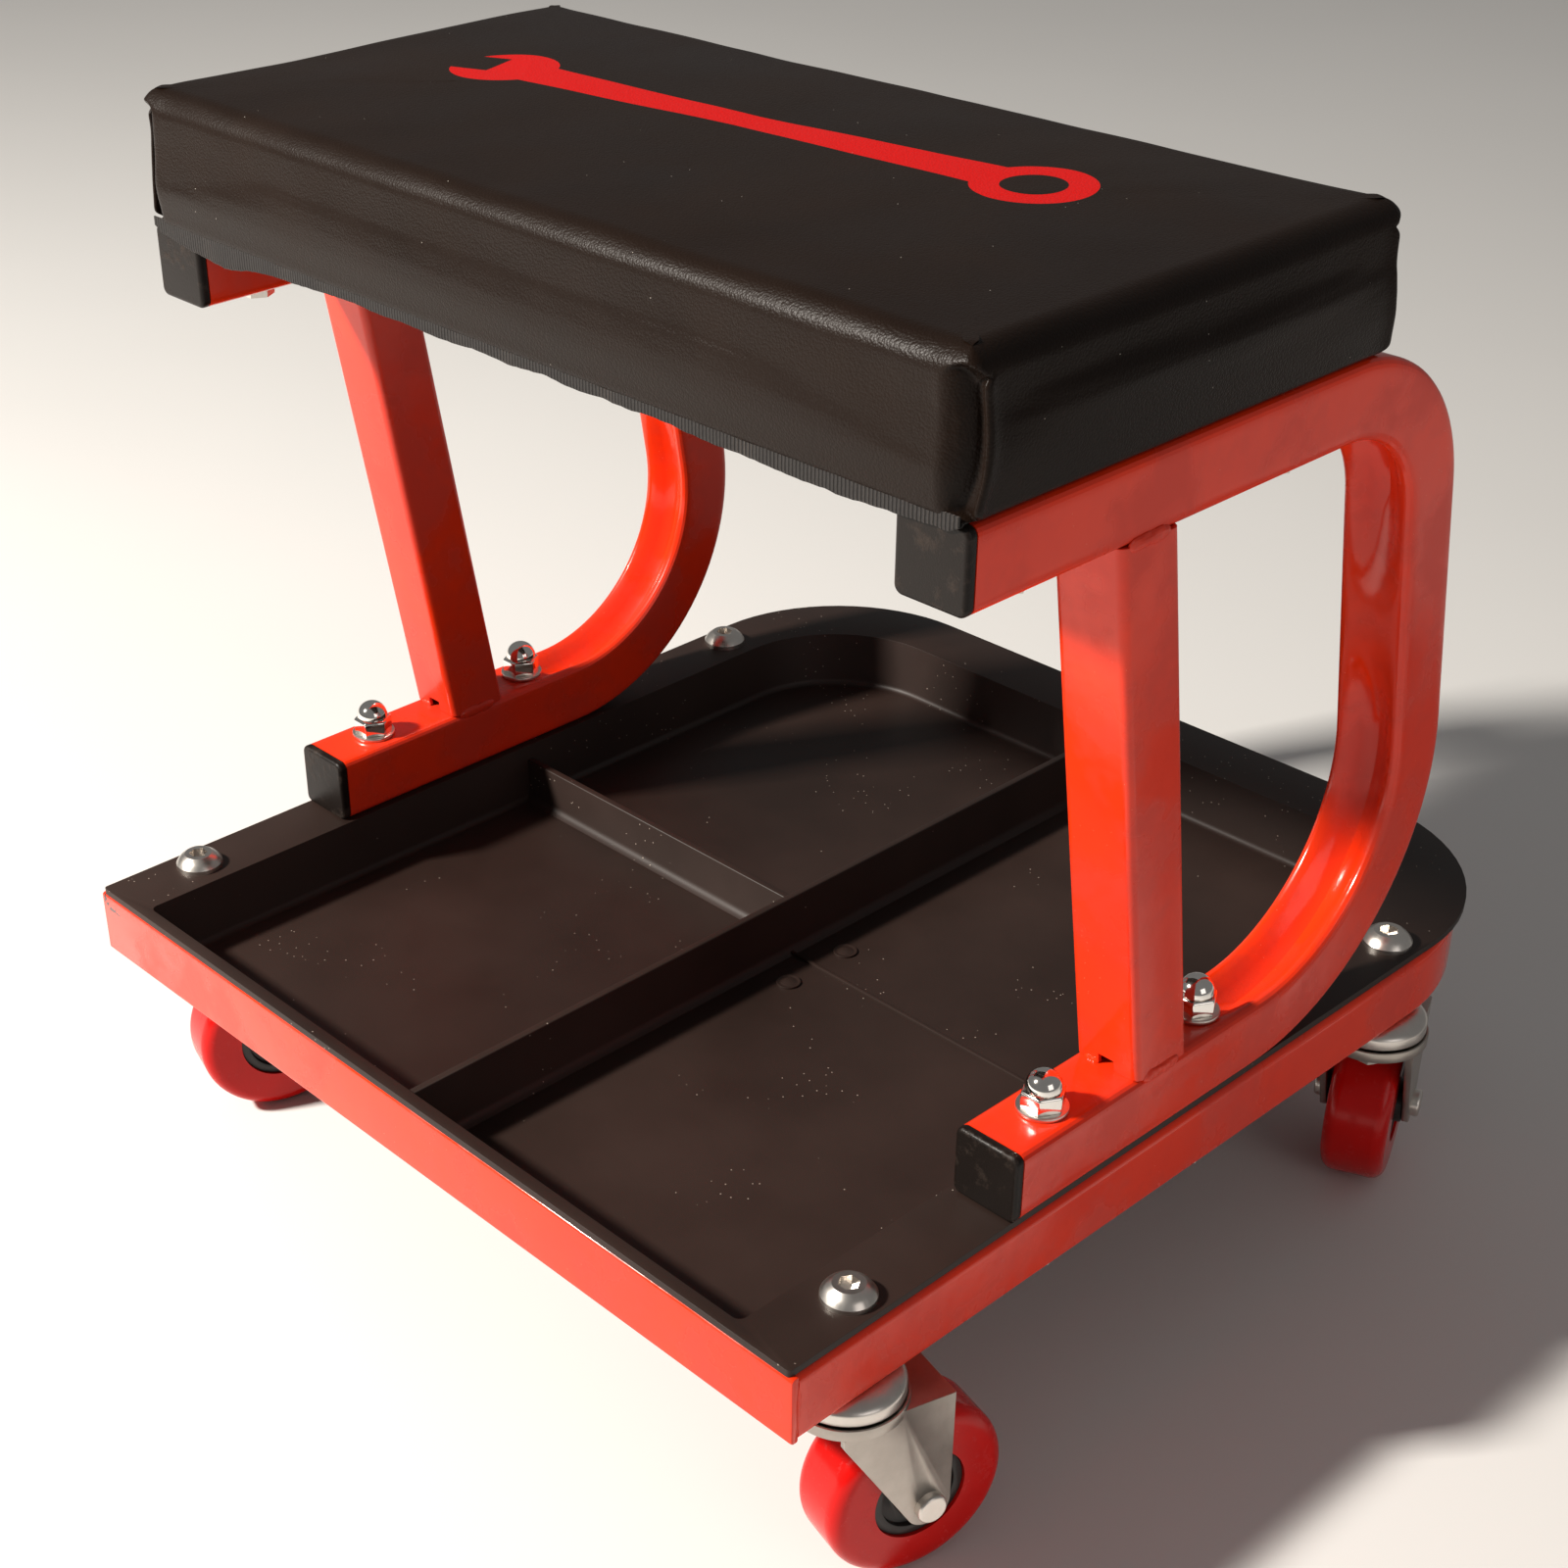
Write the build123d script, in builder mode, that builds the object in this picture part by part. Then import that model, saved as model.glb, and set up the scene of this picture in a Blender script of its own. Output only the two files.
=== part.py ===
"""Mechanic's roller seat: a padded bench on two bent-tube C frames over a tool tray on four swivel casters.

Millimetres. +Z up, +X to the sitter's right, +Y to the back. The origin is on the floor, at the middle of
the base. Every piece is its own solid, written to parts/NAME.step.
"""

import os
from math import cos, radians, tan

from build123d import *

# Square tube that the whole frame is cut from
TUBE = 25.0
TUBE_WALL = 1.5
TUBE_CORNER = 3.0

# Base: a U of tube, open at the front, closed there by a flat bar
BASE_WIDTH = 367.0
BASE_DEPTH = 397.0
BASE_CORNER = 80.0
FRONT_BAR_THICKNESS = 3.0

# Tool tray: a drop-in tub whose flange lies on the tube
TRAY_SKIN = 2.5
TRAY_WALL = 1.6
TRAY_RISE = 1.5
TRAY_GAP = 0.3
TRAY_DRAFT = 4.0
TRAY_BACK_LIP = 1.0
TRAY_SIDE_INSET = 1.5
TRAY_RIM_CORNER = 70.0
TRAY_FRONT_CORNER = 6.0
DIVIDER_THICKNESS = 3.0
DIVIDER_DRAFT = 1.5
LONG_DIVIDER_DROP = 1.0
CROSS_DIVIDER_DROP = 6.0
CROSS_DIVIDER_SETBACK = 188.0
FLOOR_RIB_SETBACK = 180.5
FLOOR_RIB_HEIGHT = 1.0
FLOOR_RIB_THICKNESS = 1.5
GATE_MARK_RADIUS = 4.5
GATE_MARK_HEIGHT = 0.8
GATE_MARK_REACH = 17.0
GATE_MARK_SPREAD = 15.0

# C frames, measured back from the front face of the base
C_HEIGHT = 240.0
C_LOWER_FRONT = 98.5
C_UPPER_FRONT = 61.0
C_BACK = 303.5
C_LOWER_BEND = 74.0
C_UPPER_BEND = 50.0
LEAN = 9.5
STRUT_FOOT = 152.0
VENT_WIDTH = 6.0
VENT_HEIGHT = 4.0

# End caps
CAP_PLATE = 3.5
CAP_PLUG = 12.0
CAP_GAP = 0.1
CAP_EDGE = 1.5

# Seat
SEAT_OVERHANG = 1.5
SEAT_WIDTH = 185.0
SEAT_FRONT = 55.0
SEAT_HEIGHT = 46.5
SEAT_EDGE = 9.0
SEAT_CORNER = 10.0
VINYL = 1.0
LINING = 1.0
COVER_FOLD = 22.0
BOARD_THICKNESS = 10.0
LINING_INSET = 4.0
STAPLE_WIRE = 0.8
STAPLE_CROWN = 10.0
STAPLE_LEG = 6.0
STAPLE_PITCH = 36.0
STAPLE_INSET = 12.0

# Fasteners
M10_RADIUS = 5.0
M8_RADIUS = 4.0
M6_RADIUS = 3.0
HOLE_CLEARANCE = 0.25
HEX_M10 = 16.0
HEX_M8 = 13.0
HEX_M6 = 10.0
HEX_HEAD_M8 = 5.3
HEX_HEAD_M6 = 4.0
WASHER_RADIUS = 8.4
WASHER_THICKNESS = 1.6
ACORN_HEX_HEIGHT = 6.5
ACORN_DOME_RADIUS = 6.2
ACORN_BORE_DEPTH = 10.0
C_BOLT_SETBACKS = (121.0, 197.0)
SEAT_BOLT_SETBACKS = (88.0, 205.0)
T_NUT_BARREL = 4.0
T_NUT_FLANGE = 9.0
T_NUT_FLANGE_THICKNESS = 1.2
BUTTON_RADIUS = 8.75
BUTTON_RIM = 1.6
BUTTON_HEIGHT = 5.2
BUTTON_TOP_RADIUS = 5.2
SOCKET_FLATS = 6.0
SOCKET_DEPTH = 3.1

# Casters
WHEEL_DIAMETER = 63.5
WHEEL_WIDTH = 23.5
WHEEL_SHOULDER = 5.0
HUB_DIAMETER = 33.0
HUB_RECESS = 2.0
HUB_RIM = 3.5
BOSS_RADIUS = 8.5
BOSS_END_GAP = 0.3
SLEEVE_RADIUS = 4.5
AXLE_RADIUS = 3.0
AXLE_HEAD_RADIUS = 5.2
AXLE_HEAD = 3.0
RUNNING_GAP = 0.05
FORK_SHEET = 2.5
FORK_SIDE_GAP = 2.25
FORK_FOOT_RADIUS = 8.0
FORK_SHOULDER = 6.0
FORK_SHOULDER_REACH = 10.4
CASTER_HEADROOM = 21.0
TRAIL = 21.0
FRONT_SWIVEL_SETBACK = 36.0
REAR_SWIVEL_INSET = 84.0
CUP_RADIUS = 18.5
CUP_TOP_RADIUS = 12.0
CUP_HEIGHT = 7.5
CUP_SHEET = 1.5
CROWN_RIM_WALL = 1.0
CROWN_TOP_DROP = 9.5
CROWN_RIM = 1.6
KING_PIN_WALL = 1.75
KING_PIN_FLARE = 3.0
KING_PIN_HEAD = 2.0
LOCK_NUT_HEIGHT = 6.0
BALL_RADIUS = 2.2
BALL_COUNT = 16
# Which way each caster trails at rest, in degrees from +X
TRAIL_ANGLES = {
    "front_right": 75.6,
    "front_left": 73.3,
    "rear_right": 113.5,
    "rear_left": 104.4,
}

# Sizes, heights and places that follow from the sizes above
CASTER_HEIGHT = WHEEL_DIAMETER + CASTER_HEADROOM
TRAY_DEPTH = TUBE - TRAY_RISE
SEAT_LENGTH = BASE_WIDTH + 2 * SEAT_OVERHANG
FORK_INSIDE = WHEEL_WIDTH + 2 * FORK_SIDE_GAP
CROWN_RADIUS = CUP_RADIUS + CROWN_RIM_WALL
KING_PIN_RADIUS = M10_RADIUS + HOLE_CLEARANCE + KING_PIN_WALL
KING_PIN_HEAD_RADIUS = KING_PIN_RADIUS + KING_PIN_FLARE
RAIL_TOP = CASTER_HEIGHT + TUBE
TRAY_TOP = RAIL_TOP + TRAY_SKIN
LOWER_TUBE_TOP = TRAY_TOP + TUBE
SEAT_BASE = TRAY_TOP + C_HEIGHT
UPPER_TUBE_BASE = SEAT_BASE - TUBE
FRONT = -BASE_DEPTH / 2
RAIL_BACK = BASE_DEPTH / 2 - TRAY_BACK_LIP
TUBE_LINE = BASE_WIDTH / 2 - TUBE / 2
TUB_HALF_WIDTH = BASE_WIDTH / 2 - TUBE - TRAY_GAP
TUB_FRONT = FRONT + FRONT_BAR_THICKNESS + TRAY_GAP
TUB_BACK = RAIL_BACK - TUBE - TRAY_GAP
TRAY_FLOOR = TRAY_TOP - TRAY_DEPTH
SEAT_MIDDLE = FRONT + SEAT_FRONT + SEAT_WIDTH / 2
BOARD_BASE = SEAT_BASE + LINING + VINYL
BOARD_TOP = BOARD_BASE + BOARD_THICKNESS
SEAT_TOP = SEAT_BASE + SEAT_HEIGHT
CROWN_TOP = CASTER_HEIGHT - CROWN_TOP_DROP
KING_PIN_END = CROWN_TOP - FORK_SHEET - RUNNING_GAP - KING_PIN_HEAD
LOCK_NUT_END = KING_PIN_END - LOCK_NUT_HEIGHT
AXLE_HEIGHT = WHEEL_DIAMETER / 2
SIDES = {"left": -1, "right": 1}


def save(piece, name):
    """Label a finished piece and write it as parts/NAME.step."""
    piece.label = name
    export_step(piece, f"parts/{name}.step")


def from_front(setback):
    """The Y of a place given as its distance behind the front face of the base."""
    return FRONT + setback


def tube_profile():
    """The square tube's section, drawn in the current sketch."""
    RectangleRounded(TUBE, TUBE, TUBE_CORNER)
    bore = TUBE - 2 * TUBE_WALL
    RectangleRounded(bore, bore, TUBE_CORNER - TUBE_WALL, mode=Mode.SUBTRACT)


def vertical_holes(places, radius, low, high):
    """Cut round holes along Z, from height low to height high, in the current part."""
    with BuildSketch(Plane.XY.offset(low)) as holes:
        with Locations(*places):
            Circle(radius)
    extrude(holes.sketch, amount=high - low, mode=Mode.SUBTRACT)


def swivel_places():
    """X and Y of each caster's swivel, by corner name."""
    ends = {"front": FRONT_SWIVEL_SETBACK, "rear": BASE_DEPTH - REAR_SWIVEL_INSET}
    return {
        f"{end}_{side}": (sign * TUBE_LINE, from_front(setback))
        for end, setback in ends.items()
        for side, sign in SIDES.items()
    }


def c_bolt_places(*signs):
    """X and Y of the two bolts that hold down each C frame on the given sides."""
    return [(s * TUBE_LINE, from_front(setback)) for s in signs for setback in C_BOLT_SETBACKS]


def base_bolt_holes(low, high):
    """Cut the caster-bolt and C-frame-bolt holes in the current part."""
    casters = list(swivel_places().values())
    vertical_holes(casters, M10_RADIUS + HOLE_CLEARANCE, low, high)
    vertical_holes(c_bolt_places(-1, 1), M8_RADIUS + HOLE_CLEARANCE, low, high)


def seat_bolt_places(*signs):
    """X and Y of the two bolts that hold the seat board to each C frame on the given sides."""
    return [(s * TUBE_LINE, from_front(setback)) for s in signs for setback in SEAT_BOLT_SETBACKS]


# Base ---------------------------------------------------------------------------------------------


def base_tube():
    """The U-shaped tube that carries the tray, drilled for casters and C frames."""
    start = FRONT + FRONT_BAR_THICKNESS
    back = RAIL_BACK - TUBE / 2
    with BuildPart() as rail:
        with BuildLine(Plane.XY.offset(RAIL_TOP - TUBE / 2)) as path:
            FilletPolyline(
                (TUBE_LINE, start),
                (TUBE_LINE, back),
                (-TUBE_LINE, back),
                (-TUBE_LINE, start),
                radius=BASE_CORNER - TUBE / 2,
            )
        with BuildSketch(Plane(origin=path.line @ 0, x_dir=(1, 0, 0), z_dir=(0, 1, 0))):
            tube_profile()
        sweep()
        base_bolt_holes(RAIL_TOP - TUBE, RAIL_TOP)
    return rail.part


def front_bar():
    """The flat bar welded across the open ends of the U."""
    with BuildPart() as bar:
        with BuildSketch(Plane.XY.offset(RAIL_TOP - TUBE)):
            with Locations((0, FRONT + FRONT_BAR_THICKNESS / 2)):
                Rectangle(BASE_WIDTH, FRONT_BAR_THICKNESS)
        extrude(amount=TUBE)
        front_edges = bar.edges().filter_by(Axis.X).group_by(Axis.Y)[0]
        fillet(front_edges, radius=FRONT_BAR_THICKNESS * 0.45)
    return bar.part


def u_outline(half_width, front, back, corner, front_corner):
    """A rectangle with large rear corners and small front corners, drawn in the current sketch."""
    depth = back - front
    with BuildSketch(mode=Mode.PRIVATE) as outline:
        with Locations((0, (front + back) / 2)):
            Rectangle(2 * half_width, depth)
        fillet(outline.vertices().group_by(Axis.Y)[-1], radius=corner)
        if front_corner:
            fillet(outline.vertices().group_by(Axis.Y)[0], radius=front_corner)
    add(outline.sketch)


def tray():
    """The moulded tub: flange, drafted walls, a tall divider, a low cross divider and a floor rib."""
    corner = BASE_CORNER - TUBE - TRAY_GAP
    inside = TUB_HALF_WIDTH - TRAY_WALL
    inside_front = TUB_FRONT + TRAY_WALL
    inside_back = TUB_BACK - TRAY_WALL
    rim_half = BASE_WIDTH / 2 - TRAY_SIDE_INSET
    rim_front = FRONT + TRAY_GAP
    sink = TRAY_DEPTH * tan(radians(TRAY_DRAFT))
    with BuildPart() as tub:
        with BuildSketch(Plane.XY.offset(RAIL_TOP)):
            u_outline(rim_half, rim_front, BASE_DEPTH / 2, TRAY_RIM_CORNER, 0)
        extrude(amount=TRAY_SKIN)
        with BuildSketch(Plane.XY.offset(RAIL_TOP)):
            u_outline(TUB_HALF_WIDTH, TUB_FRONT, TUB_BACK, corner, TRAY_FRONT_CORNER)
        extrude(amount=-TRAY_DEPTH, taper=TRAY_DRAFT)
        with BuildSketch(Plane.XY.offset(TRAY_TOP)):
            hollow = corner - TRAY_WALL
            front_corner = TRAY_FRONT_CORNER - TRAY_WALL
            u_outline(inside, inside_front, inside_back, hollow, front_corner)
        extrude(amount=-TRAY_DEPTH, taper=TRAY_DRAFT, mode=Mode.SUBTRACT)
        # The tall divider runs from front to back, its foot thicker than its top
        long_height = TRAY_DEPTH - LONG_DIVIDER_DROP
        foot = DIVIDER_THICKNESS + 2 * long_height * tan(radians(DIVIDER_DRAFT))
        floor_length = inside_back - inside_front - 2 * sink
        with BuildSketch(Plane.XY.offset(TRAY_FLOOR)):
            with Locations((0, (inside_front + inside_back) / 2)):
                Rectangle(foot, floor_length)
        extrude(amount=long_height, taper=DIVIDER_DRAFT)
        with BuildSketch(Plane.XZ.offset(-inside_front)):
            with Locations((0, TRAY_FLOOR + long_height / 2)):
                Rectangle(DIVIDER_THICKNESS, long_height)
        extrude(amount=inside_front - inside_back)
        # The low divider crosses the left half only
        cross_height = TRAY_DEPTH - CROSS_DIVIDER_DROP
        cross_y = from_front(CROSS_DIVIDER_SETBACK)
        with BuildSketch(Plane.YZ.offset(-inside)):
            with Locations((cross_y, TRAY_FLOOR + cross_height / 2)):
                Rectangle(DIVIDER_THICKNESS, cross_height)
        extrude(amount=inside)
        # A thin rib and two moulding gates mark the right half's floor
        rib_y = from_front(FLOOR_RIB_SETBACK)
        with BuildSketch(Plane.XY.offset(TRAY_FLOOR)):
            with Locations(((inside - sink) / 2, rib_y)):
                Rectangle(inside - sink, FLOOR_RIB_THICKNESS)
        extrude(amount=FLOOR_RIB_HEIGHT)
        with BuildSketch(Plane.XY.offset(TRAY_FLOOR)):
            with Locations(
                (GATE_MARK_REACH, rib_y - GATE_MARK_SPREAD),
                (GATE_MARK_REACH, rib_y + GATE_MARK_SPREAD),
            ):
                Circle(GATE_MARK_RADIUS)
        extrude(amount=GATE_MARK_HEIGHT)
        base_bolt_holes(RAIL_TOP, TRAY_TOP)
    return tub.part


# C frames -----------------------------------------------------------------------------------------


def c_tube(sign):
    """One bent tube: along the tray, round and up the back, and forward under the seat."""
    low = TRAY_TOP + TUBE / 2
    high = SEAT_BASE - TUBE / 2
    half_turn = radians((90 + LEAN) / 2)
    foot = from_front(C_BACK) - TUBE / 2 - C_LOWER_BEND + C_LOWER_BEND * tan(half_turn)
    head = foot - (high - low) * tan(radians(LEAN))
    with BuildPart() as tube:
        with BuildLine(Plane.YZ.offset(sign * TUBE_LINE)) as path:
            FilletPolyline(
                (from_front(C_LOWER_FRONT), low),
                (foot, low),
                (head, high),
                (from_front(C_UPPER_FRONT), high),
                radius=[C_LOWER_BEND, C_UPPER_BEND],
            )
        with BuildSketch(Plane(origin=path.line @ 0, x_dir=(1, 0, 0), z_dir=(0, 1, 0))):
            tube_profile()
        sweep()
        lower = c_bolt_places(sign)
        upper = seat_bolt_places(sign)
        vertical_holes(lower, M8_RADIUS + HOLE_CLEARANCE, TRAY_TOP, LOWER_TUBE_TOP)
        vertical_holes(upper, M6_RADIUS + HOLE_CLEARANCE, UPPER_TUBE_BASE, SEAT_BASE)
    return tube.part


def strut(sign):
    """The leaning post between the two runs of a C tube, cut level at both ends."""
    height = UPPER_TUBE_BASE - LOWER_TUBE_TOP
    shift = height * tan(radians(LEAN))
    run = TUBE / cos(radians(LEAN))
    wall = TUBE_WALL / cos(radians(LEAN))
    foot = from_front(STRUT_FOOT)

    def slab(margin):
        """Points of the side view, drawn in by margin at the front and back faces."""
        return [
            (foot + margin, LOWER_TUBE_TOP),
            (foot + run - margin, LOWER_TUBE_TOP),
            (foot + run - margin - shift, UPPER_TUBE_BASE),
            (foot + margin - shift, UPPER_TUBE_BASE),
        ]

    with BuildPart() as post:
        with BuildSketch(Plane.YZ.offset(sign * TUBE_LINE)):
            Polygon(*slab(0), align=None)
        extrude(amount=TUBE / 2, both=True)
        long_edges = [e for e in post.edges() if e.length > height]
        fillet(long_edges, radius=TUBE_CORNER)
        with BuildSketch(Plane.YZ.offset(sign * TUBE_LINE)):
            Polygon(*slab(wall), align=None)
        extrude(amount=TUBE / 2 - TUBE_WALL, both=True, mode=Mode.SUBTRACT)
        with BuildSketch(Plane.XZ.offset(-foot)):
            with Locations((sign * TUBE_LINE, LOWER_TUBE_TOP + VENT_HEIGHT / 2)):
                Rectangle(VENT_WIDTH, VENT_HEIGHT)
        extrude(amount=2 * TUBE_WALL, both=True, mode=Mode.SUBTRACT)
    return post.part


def end_cap(sign, setback, height):
    """A moulded plug with a square face plate, pushed into a tube that ends facing the front."""
    face = from_front(setback) - CAP_PLATE
    plug = TUBE - 2 * TUBE_WALL - 2 * CAP_GAP
    with BuildPart() as cap:
        with BuildSketch(Plane.XZ.offset(-face)):
            with Locations((sign * TUBE_LINE, height)):
                RectangleRounded(TUBE, TUBE, TUBE_CORNER)
        extrude(amount=-CAP_PLATE)
        fillet(cap.edges().group_by(Axis.Y)[0], radius=CAP_EDGE)
        with BuildSketch(Plane.XZ.offset(-face - CAP_PLATE)):
            with Locations((sign * TUBE_LINE, height)):
                RectangleRounded(plug, plug, TUBE_CORNER - TUBE_WALL)
                Rectangle(plug / 2, plug / 2, mode=Mode.SUBTRACT)
        extrude(amount=-CAP_PLUG)
    return cap.part


# Seat ---------------------------------------------------------------------------------------------


def block(length, width, low, high, corner):
    """A rounded-corner slab centred under the seat, added to the current part."""
    with BuildSketch(Plane.XY.offset(low)) as outline:
        with Locations((0, SEAT_MIDDLE)):
            RectangleRounded(length, width, corner)
    extrude(outline.sketch, amount=high - low)


def seat_board():
    """The plywood base of the seat, drilled for the T-nuts."""
    with BuildPart() as board:
        block(
            SEAT_LENGTH - 2 * VINYL,
            SEAT_WIDTH - 2 * VINYL,
            BOARD_BASE,
            BOARD_TOP,
            SEAT_CORNER - VINYL,
        )
        vertical_holes(seat_bolt_places(-1, 1), T_NUT_BARREL, BOARD_BASE - 1, BOARD_TOP + 1)
        vertical_holes(
            seat_bolt_places(-1, 1),
            T_NUT_FLANGE,
            BOARD_TOP - T_NUT_FLANGE_THICKNESS,
            BOARD_TOP + 1,
        )
        staple_slots(BOARD_BASE)
    return board.part


def seat_foam():
    """The foam block on the board, with rounded upper edges."""
    with BuildPart() as foam:
        block(
            SEAT_LENGTH - 2 * VINYL,
            SEAT_WIDTH - 2 * VINYL,
            BOARD_TOP,
            SEAT_TOP - VINYL,
            SEAT_CORNER - VINYL,
        )
        fillet(foam.edges().group_by(Axis.Z)[-1], radius=SEAT_EDGE - VINYL)
    return foam.part


def seat_cover():
    """The vinyl cover, stretched over foam and board and folded in underneath."""
    base = SEAT_BASE + LINING
    with BuildPart() as cover:
        block(SEAT_LENGTH, SEAT_WIDTH, base, SEAT_TOP, SEAT_CORNER)
        fillet(cover.edges().group_by(Axis.Z)[-1], radius=SEAT_EDGE)
        offset(amount=-VINYL, openings=cover.faces().sort_by(Axis.Z)[0])
        with BuildSketch(Plane.XY.offset(base)):
            with Locations((0, SEAT_MIDDLE)):
                RectangleRounded(SEAT_LENGTH, SEAT_WIDTH, SEAT_CORNER)
                fold = 2 * COVER_FOLD
                Rectangle(SEAT_LENGTH - fold, SEAT_WIDTH - fold, mode=Mode.SUBTRACT)
        extrude(amount=VINYL)
        staple_slots(base)
        vertical_holes(
            seat_bolt_places(-1, 1), M6_RADIUS + HOLE_CLEARANCE, base - 1, BOARD_BASE
        )
    return cover.part


def seat_lining():
    """The woven lining stapled under the board, over the folded edge of the vinyl."""
    with BuildPart() as lining:
        block(
            SEAT_LENGTH - 2 * LINING_INSET,
            SEAT_WIDTH - 2 * LINING_INSET,
            SEAT_BASE,
            SEAT_BASE + LINING,
            SEAT_CORNER - LINING_INSET,
        )
        vertical_holes(
            seat_bolt_places(-1, 1),
            M6_RADIUS + HOLE_CLEARANCE,
            SEAT_BASE - 1,
            SEAT_BASE + LINING + 1,
        )
        staple_slots(SEAT_BASE)
    return lining.part


def staple_places():
    """X and Y of each staple, in a row along the front and the back of the seat."""
    reach = TUBE_LINE - TUBE
    count = int(2 * reach // STAPLE_PITCH)
    pitch = 2 * reach / count
    rows = (
        SEAT_MIDDLE - SEAT_WIDTH / 2 + STAPLE_INSET,
        SEAT_MIDDLE + SEAT_WIDTH / 2 - STAPLE_INSET,
    )
    return [(-reach + pitch * (i + 0.5), y) for y in rows for i in range(count)]


def staple_legs():
    """X and Y of every staple leg."""
    reach = (STAPLE_CROWN - STAPLE_WIRE) / 2
    return [(x + side * reach, y) for x, y in staple_places() for side in (-1, 1)]


def staple_slots(low):
    """Cut the slots that the staple legs fill, in the current part, from height low upwards."""
    with BuildSketch(Plane.XY.offset(low)) as slots:
        with Locations(*staple_legs()):
            Rectangle(STAPLE_WIRE, STAPLE_WIRE)
    top = SEAT_BASE + STAPLE_LEG
    extrude(slots.sketch, amount=top - low, mode=Mode.SUBTRACT)


def staples():
    """Wire staples through lining and vinyl into the board, as a group of solids."""
    with BuildPart() as group:
        with BuildSketch(Plane.XY.offset(SEAT_BASE - STAPLE_WIRE)):
            with Locations(*staple_places()):
                Rectangle(STAPLE_CROWN, STAPLE_WIRE)
        extrude(amount=STAPLE_WIRE)
        with BuildSketch(Plane.XY.offset(SEAT_BASE)):
            with Locations(*staple_legs()):
                Rectangle(STAPLE_WIRE, STAPLE_WIRE)
        extrude(amount=STAPLE_LEG)
    return group.part


# Fasteners ----------------------------------------------------------------------------------------


def hexagon(flats):
    """A hexagon measured across its flats, in the current sketch."""
    RegularPolygon(radius=flats / 2, side_count=6, major_radius=False)


def c_bolts():
    """Hex bolts from under the base tube up through tray and C tube."""
    places = c_bolt_places(-1, 1)
    under = RAIL_TOP - TUBE
    top = LOWER_TUBE_TOP + WASHER_THICKNESS + ACORN_BORE_DEPTH
    with BuildPart() as group:
        with BuildSketch(Plane.XY.offset(under)):
            with Locations(*places):
                hexagon(HEX_M8)
        extrude(amount=-HEX_HEAD_M8)
        with BuildSketch(Plane.XY.offset(under)):
            with Locations(*places):
                Circle(M8_RADIUS)
        extrude(amount=top - under)
    return group.part


def c_washers():
    """Plain washers between the C tubes and the acorn nuts."""
    places = c_bolt_places(-1, 1)
    with BuildPart() as group:
        with BuildSketch(Plane.XY.offset(LOWER_TUBE_TOP)):
            with Locations(*places):
                Circle(WASHER_RADIUS)
                Circle(M8_RADIUS + HOLE_CLEARANCE, mode=Mode.SUBTRACT)
        extrude(amount=WASHER_THICKNESS)
    return group.part


def acorn_nuts():
    """Domed nuts on top of the C tubes."""
    places = c_bolt_places(-1, 1)
    base = LOWER_TUBE_TOP + WASHER_THICKNESS
    shoulder = base + ACORN_HEX_HEIGHT
    with BuildPart() as group:
        with BuildSketch(Plane.XY.offset(base)):
            with Locations(*places):
                hexagon(HEX_M8)
        extrude(amount=ACORN_HEX_HEIGHT)
        with Locations(*[(x, y, shoulder) for x, y in places]):
            Sphere(ACORN_DOME_RADIUS)
        vertical_holes(places, M8_RADIUS, base - 1, base + ACORN_BORE_DEPTH)
    return group.part


def seat_bolts():
    """Hex bolts from under the C tubes up into the seat board."""
    with BuildPart() as group:
        with BuildSketch(Plane.XY.offset(UPPER_TUBE_BASE)):
            with Locations(*seat_bolt_places(-1, 1)):
                hexagon(HEX_M6)
        extrude(amount=-HEX_HEAD_M6)
        with BuildSketch(Plane.XY.offset(UPPER_TUBE_BASE)):
            with Locations(*seat_bolt_places(-1, 1)):
                Circle(M6_RADIUS)
        extrude(amount=BOARD_TOP - UPPER_TUBE_BASE)
    return group.part


def t_nuts():
    """Flanged barrel nuts let into the top of the seat board."""
    with BuildPart() as group:
        with BuildSketch(Plane.XY.offset(BOARD_TOP - T_NUT_FLANGE_THICKNESS)):
            with Locations(*seat_bolt_places(-1, 1)):
                Circle(T_NUT_FLANGE)
        extrude(amount=T_NUT_FLANGE_THICKNESS)
        with BuildSketch(Plane.XY.offset(BOARD_BASE)):
            with Locations(*seat_bolt_places(-1, 1)):
                Circle(T_NUT_BARREL)
        extrude(amount=BOARD_THICKNESS - T_NUT_FLANGE_THICKNESS)
        vertical_holes(seat_bolt_places(-1, 1), M6_RADIUS, BOARD_BASE - 1, BOARD_TOP + 1)
    return group.part


# Casters ------------------------------------------------------------------------------------------


def revolved(points):
    """A ring about +Z through the origin from its half section, given as (radius, height) points."""
    with BuildPart() as ring:
        with BuildSketch(Plane.XZ):
            Polygon(*points, align=None)
        revolve(axis=Axis.Z)
    return ring.part


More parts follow.
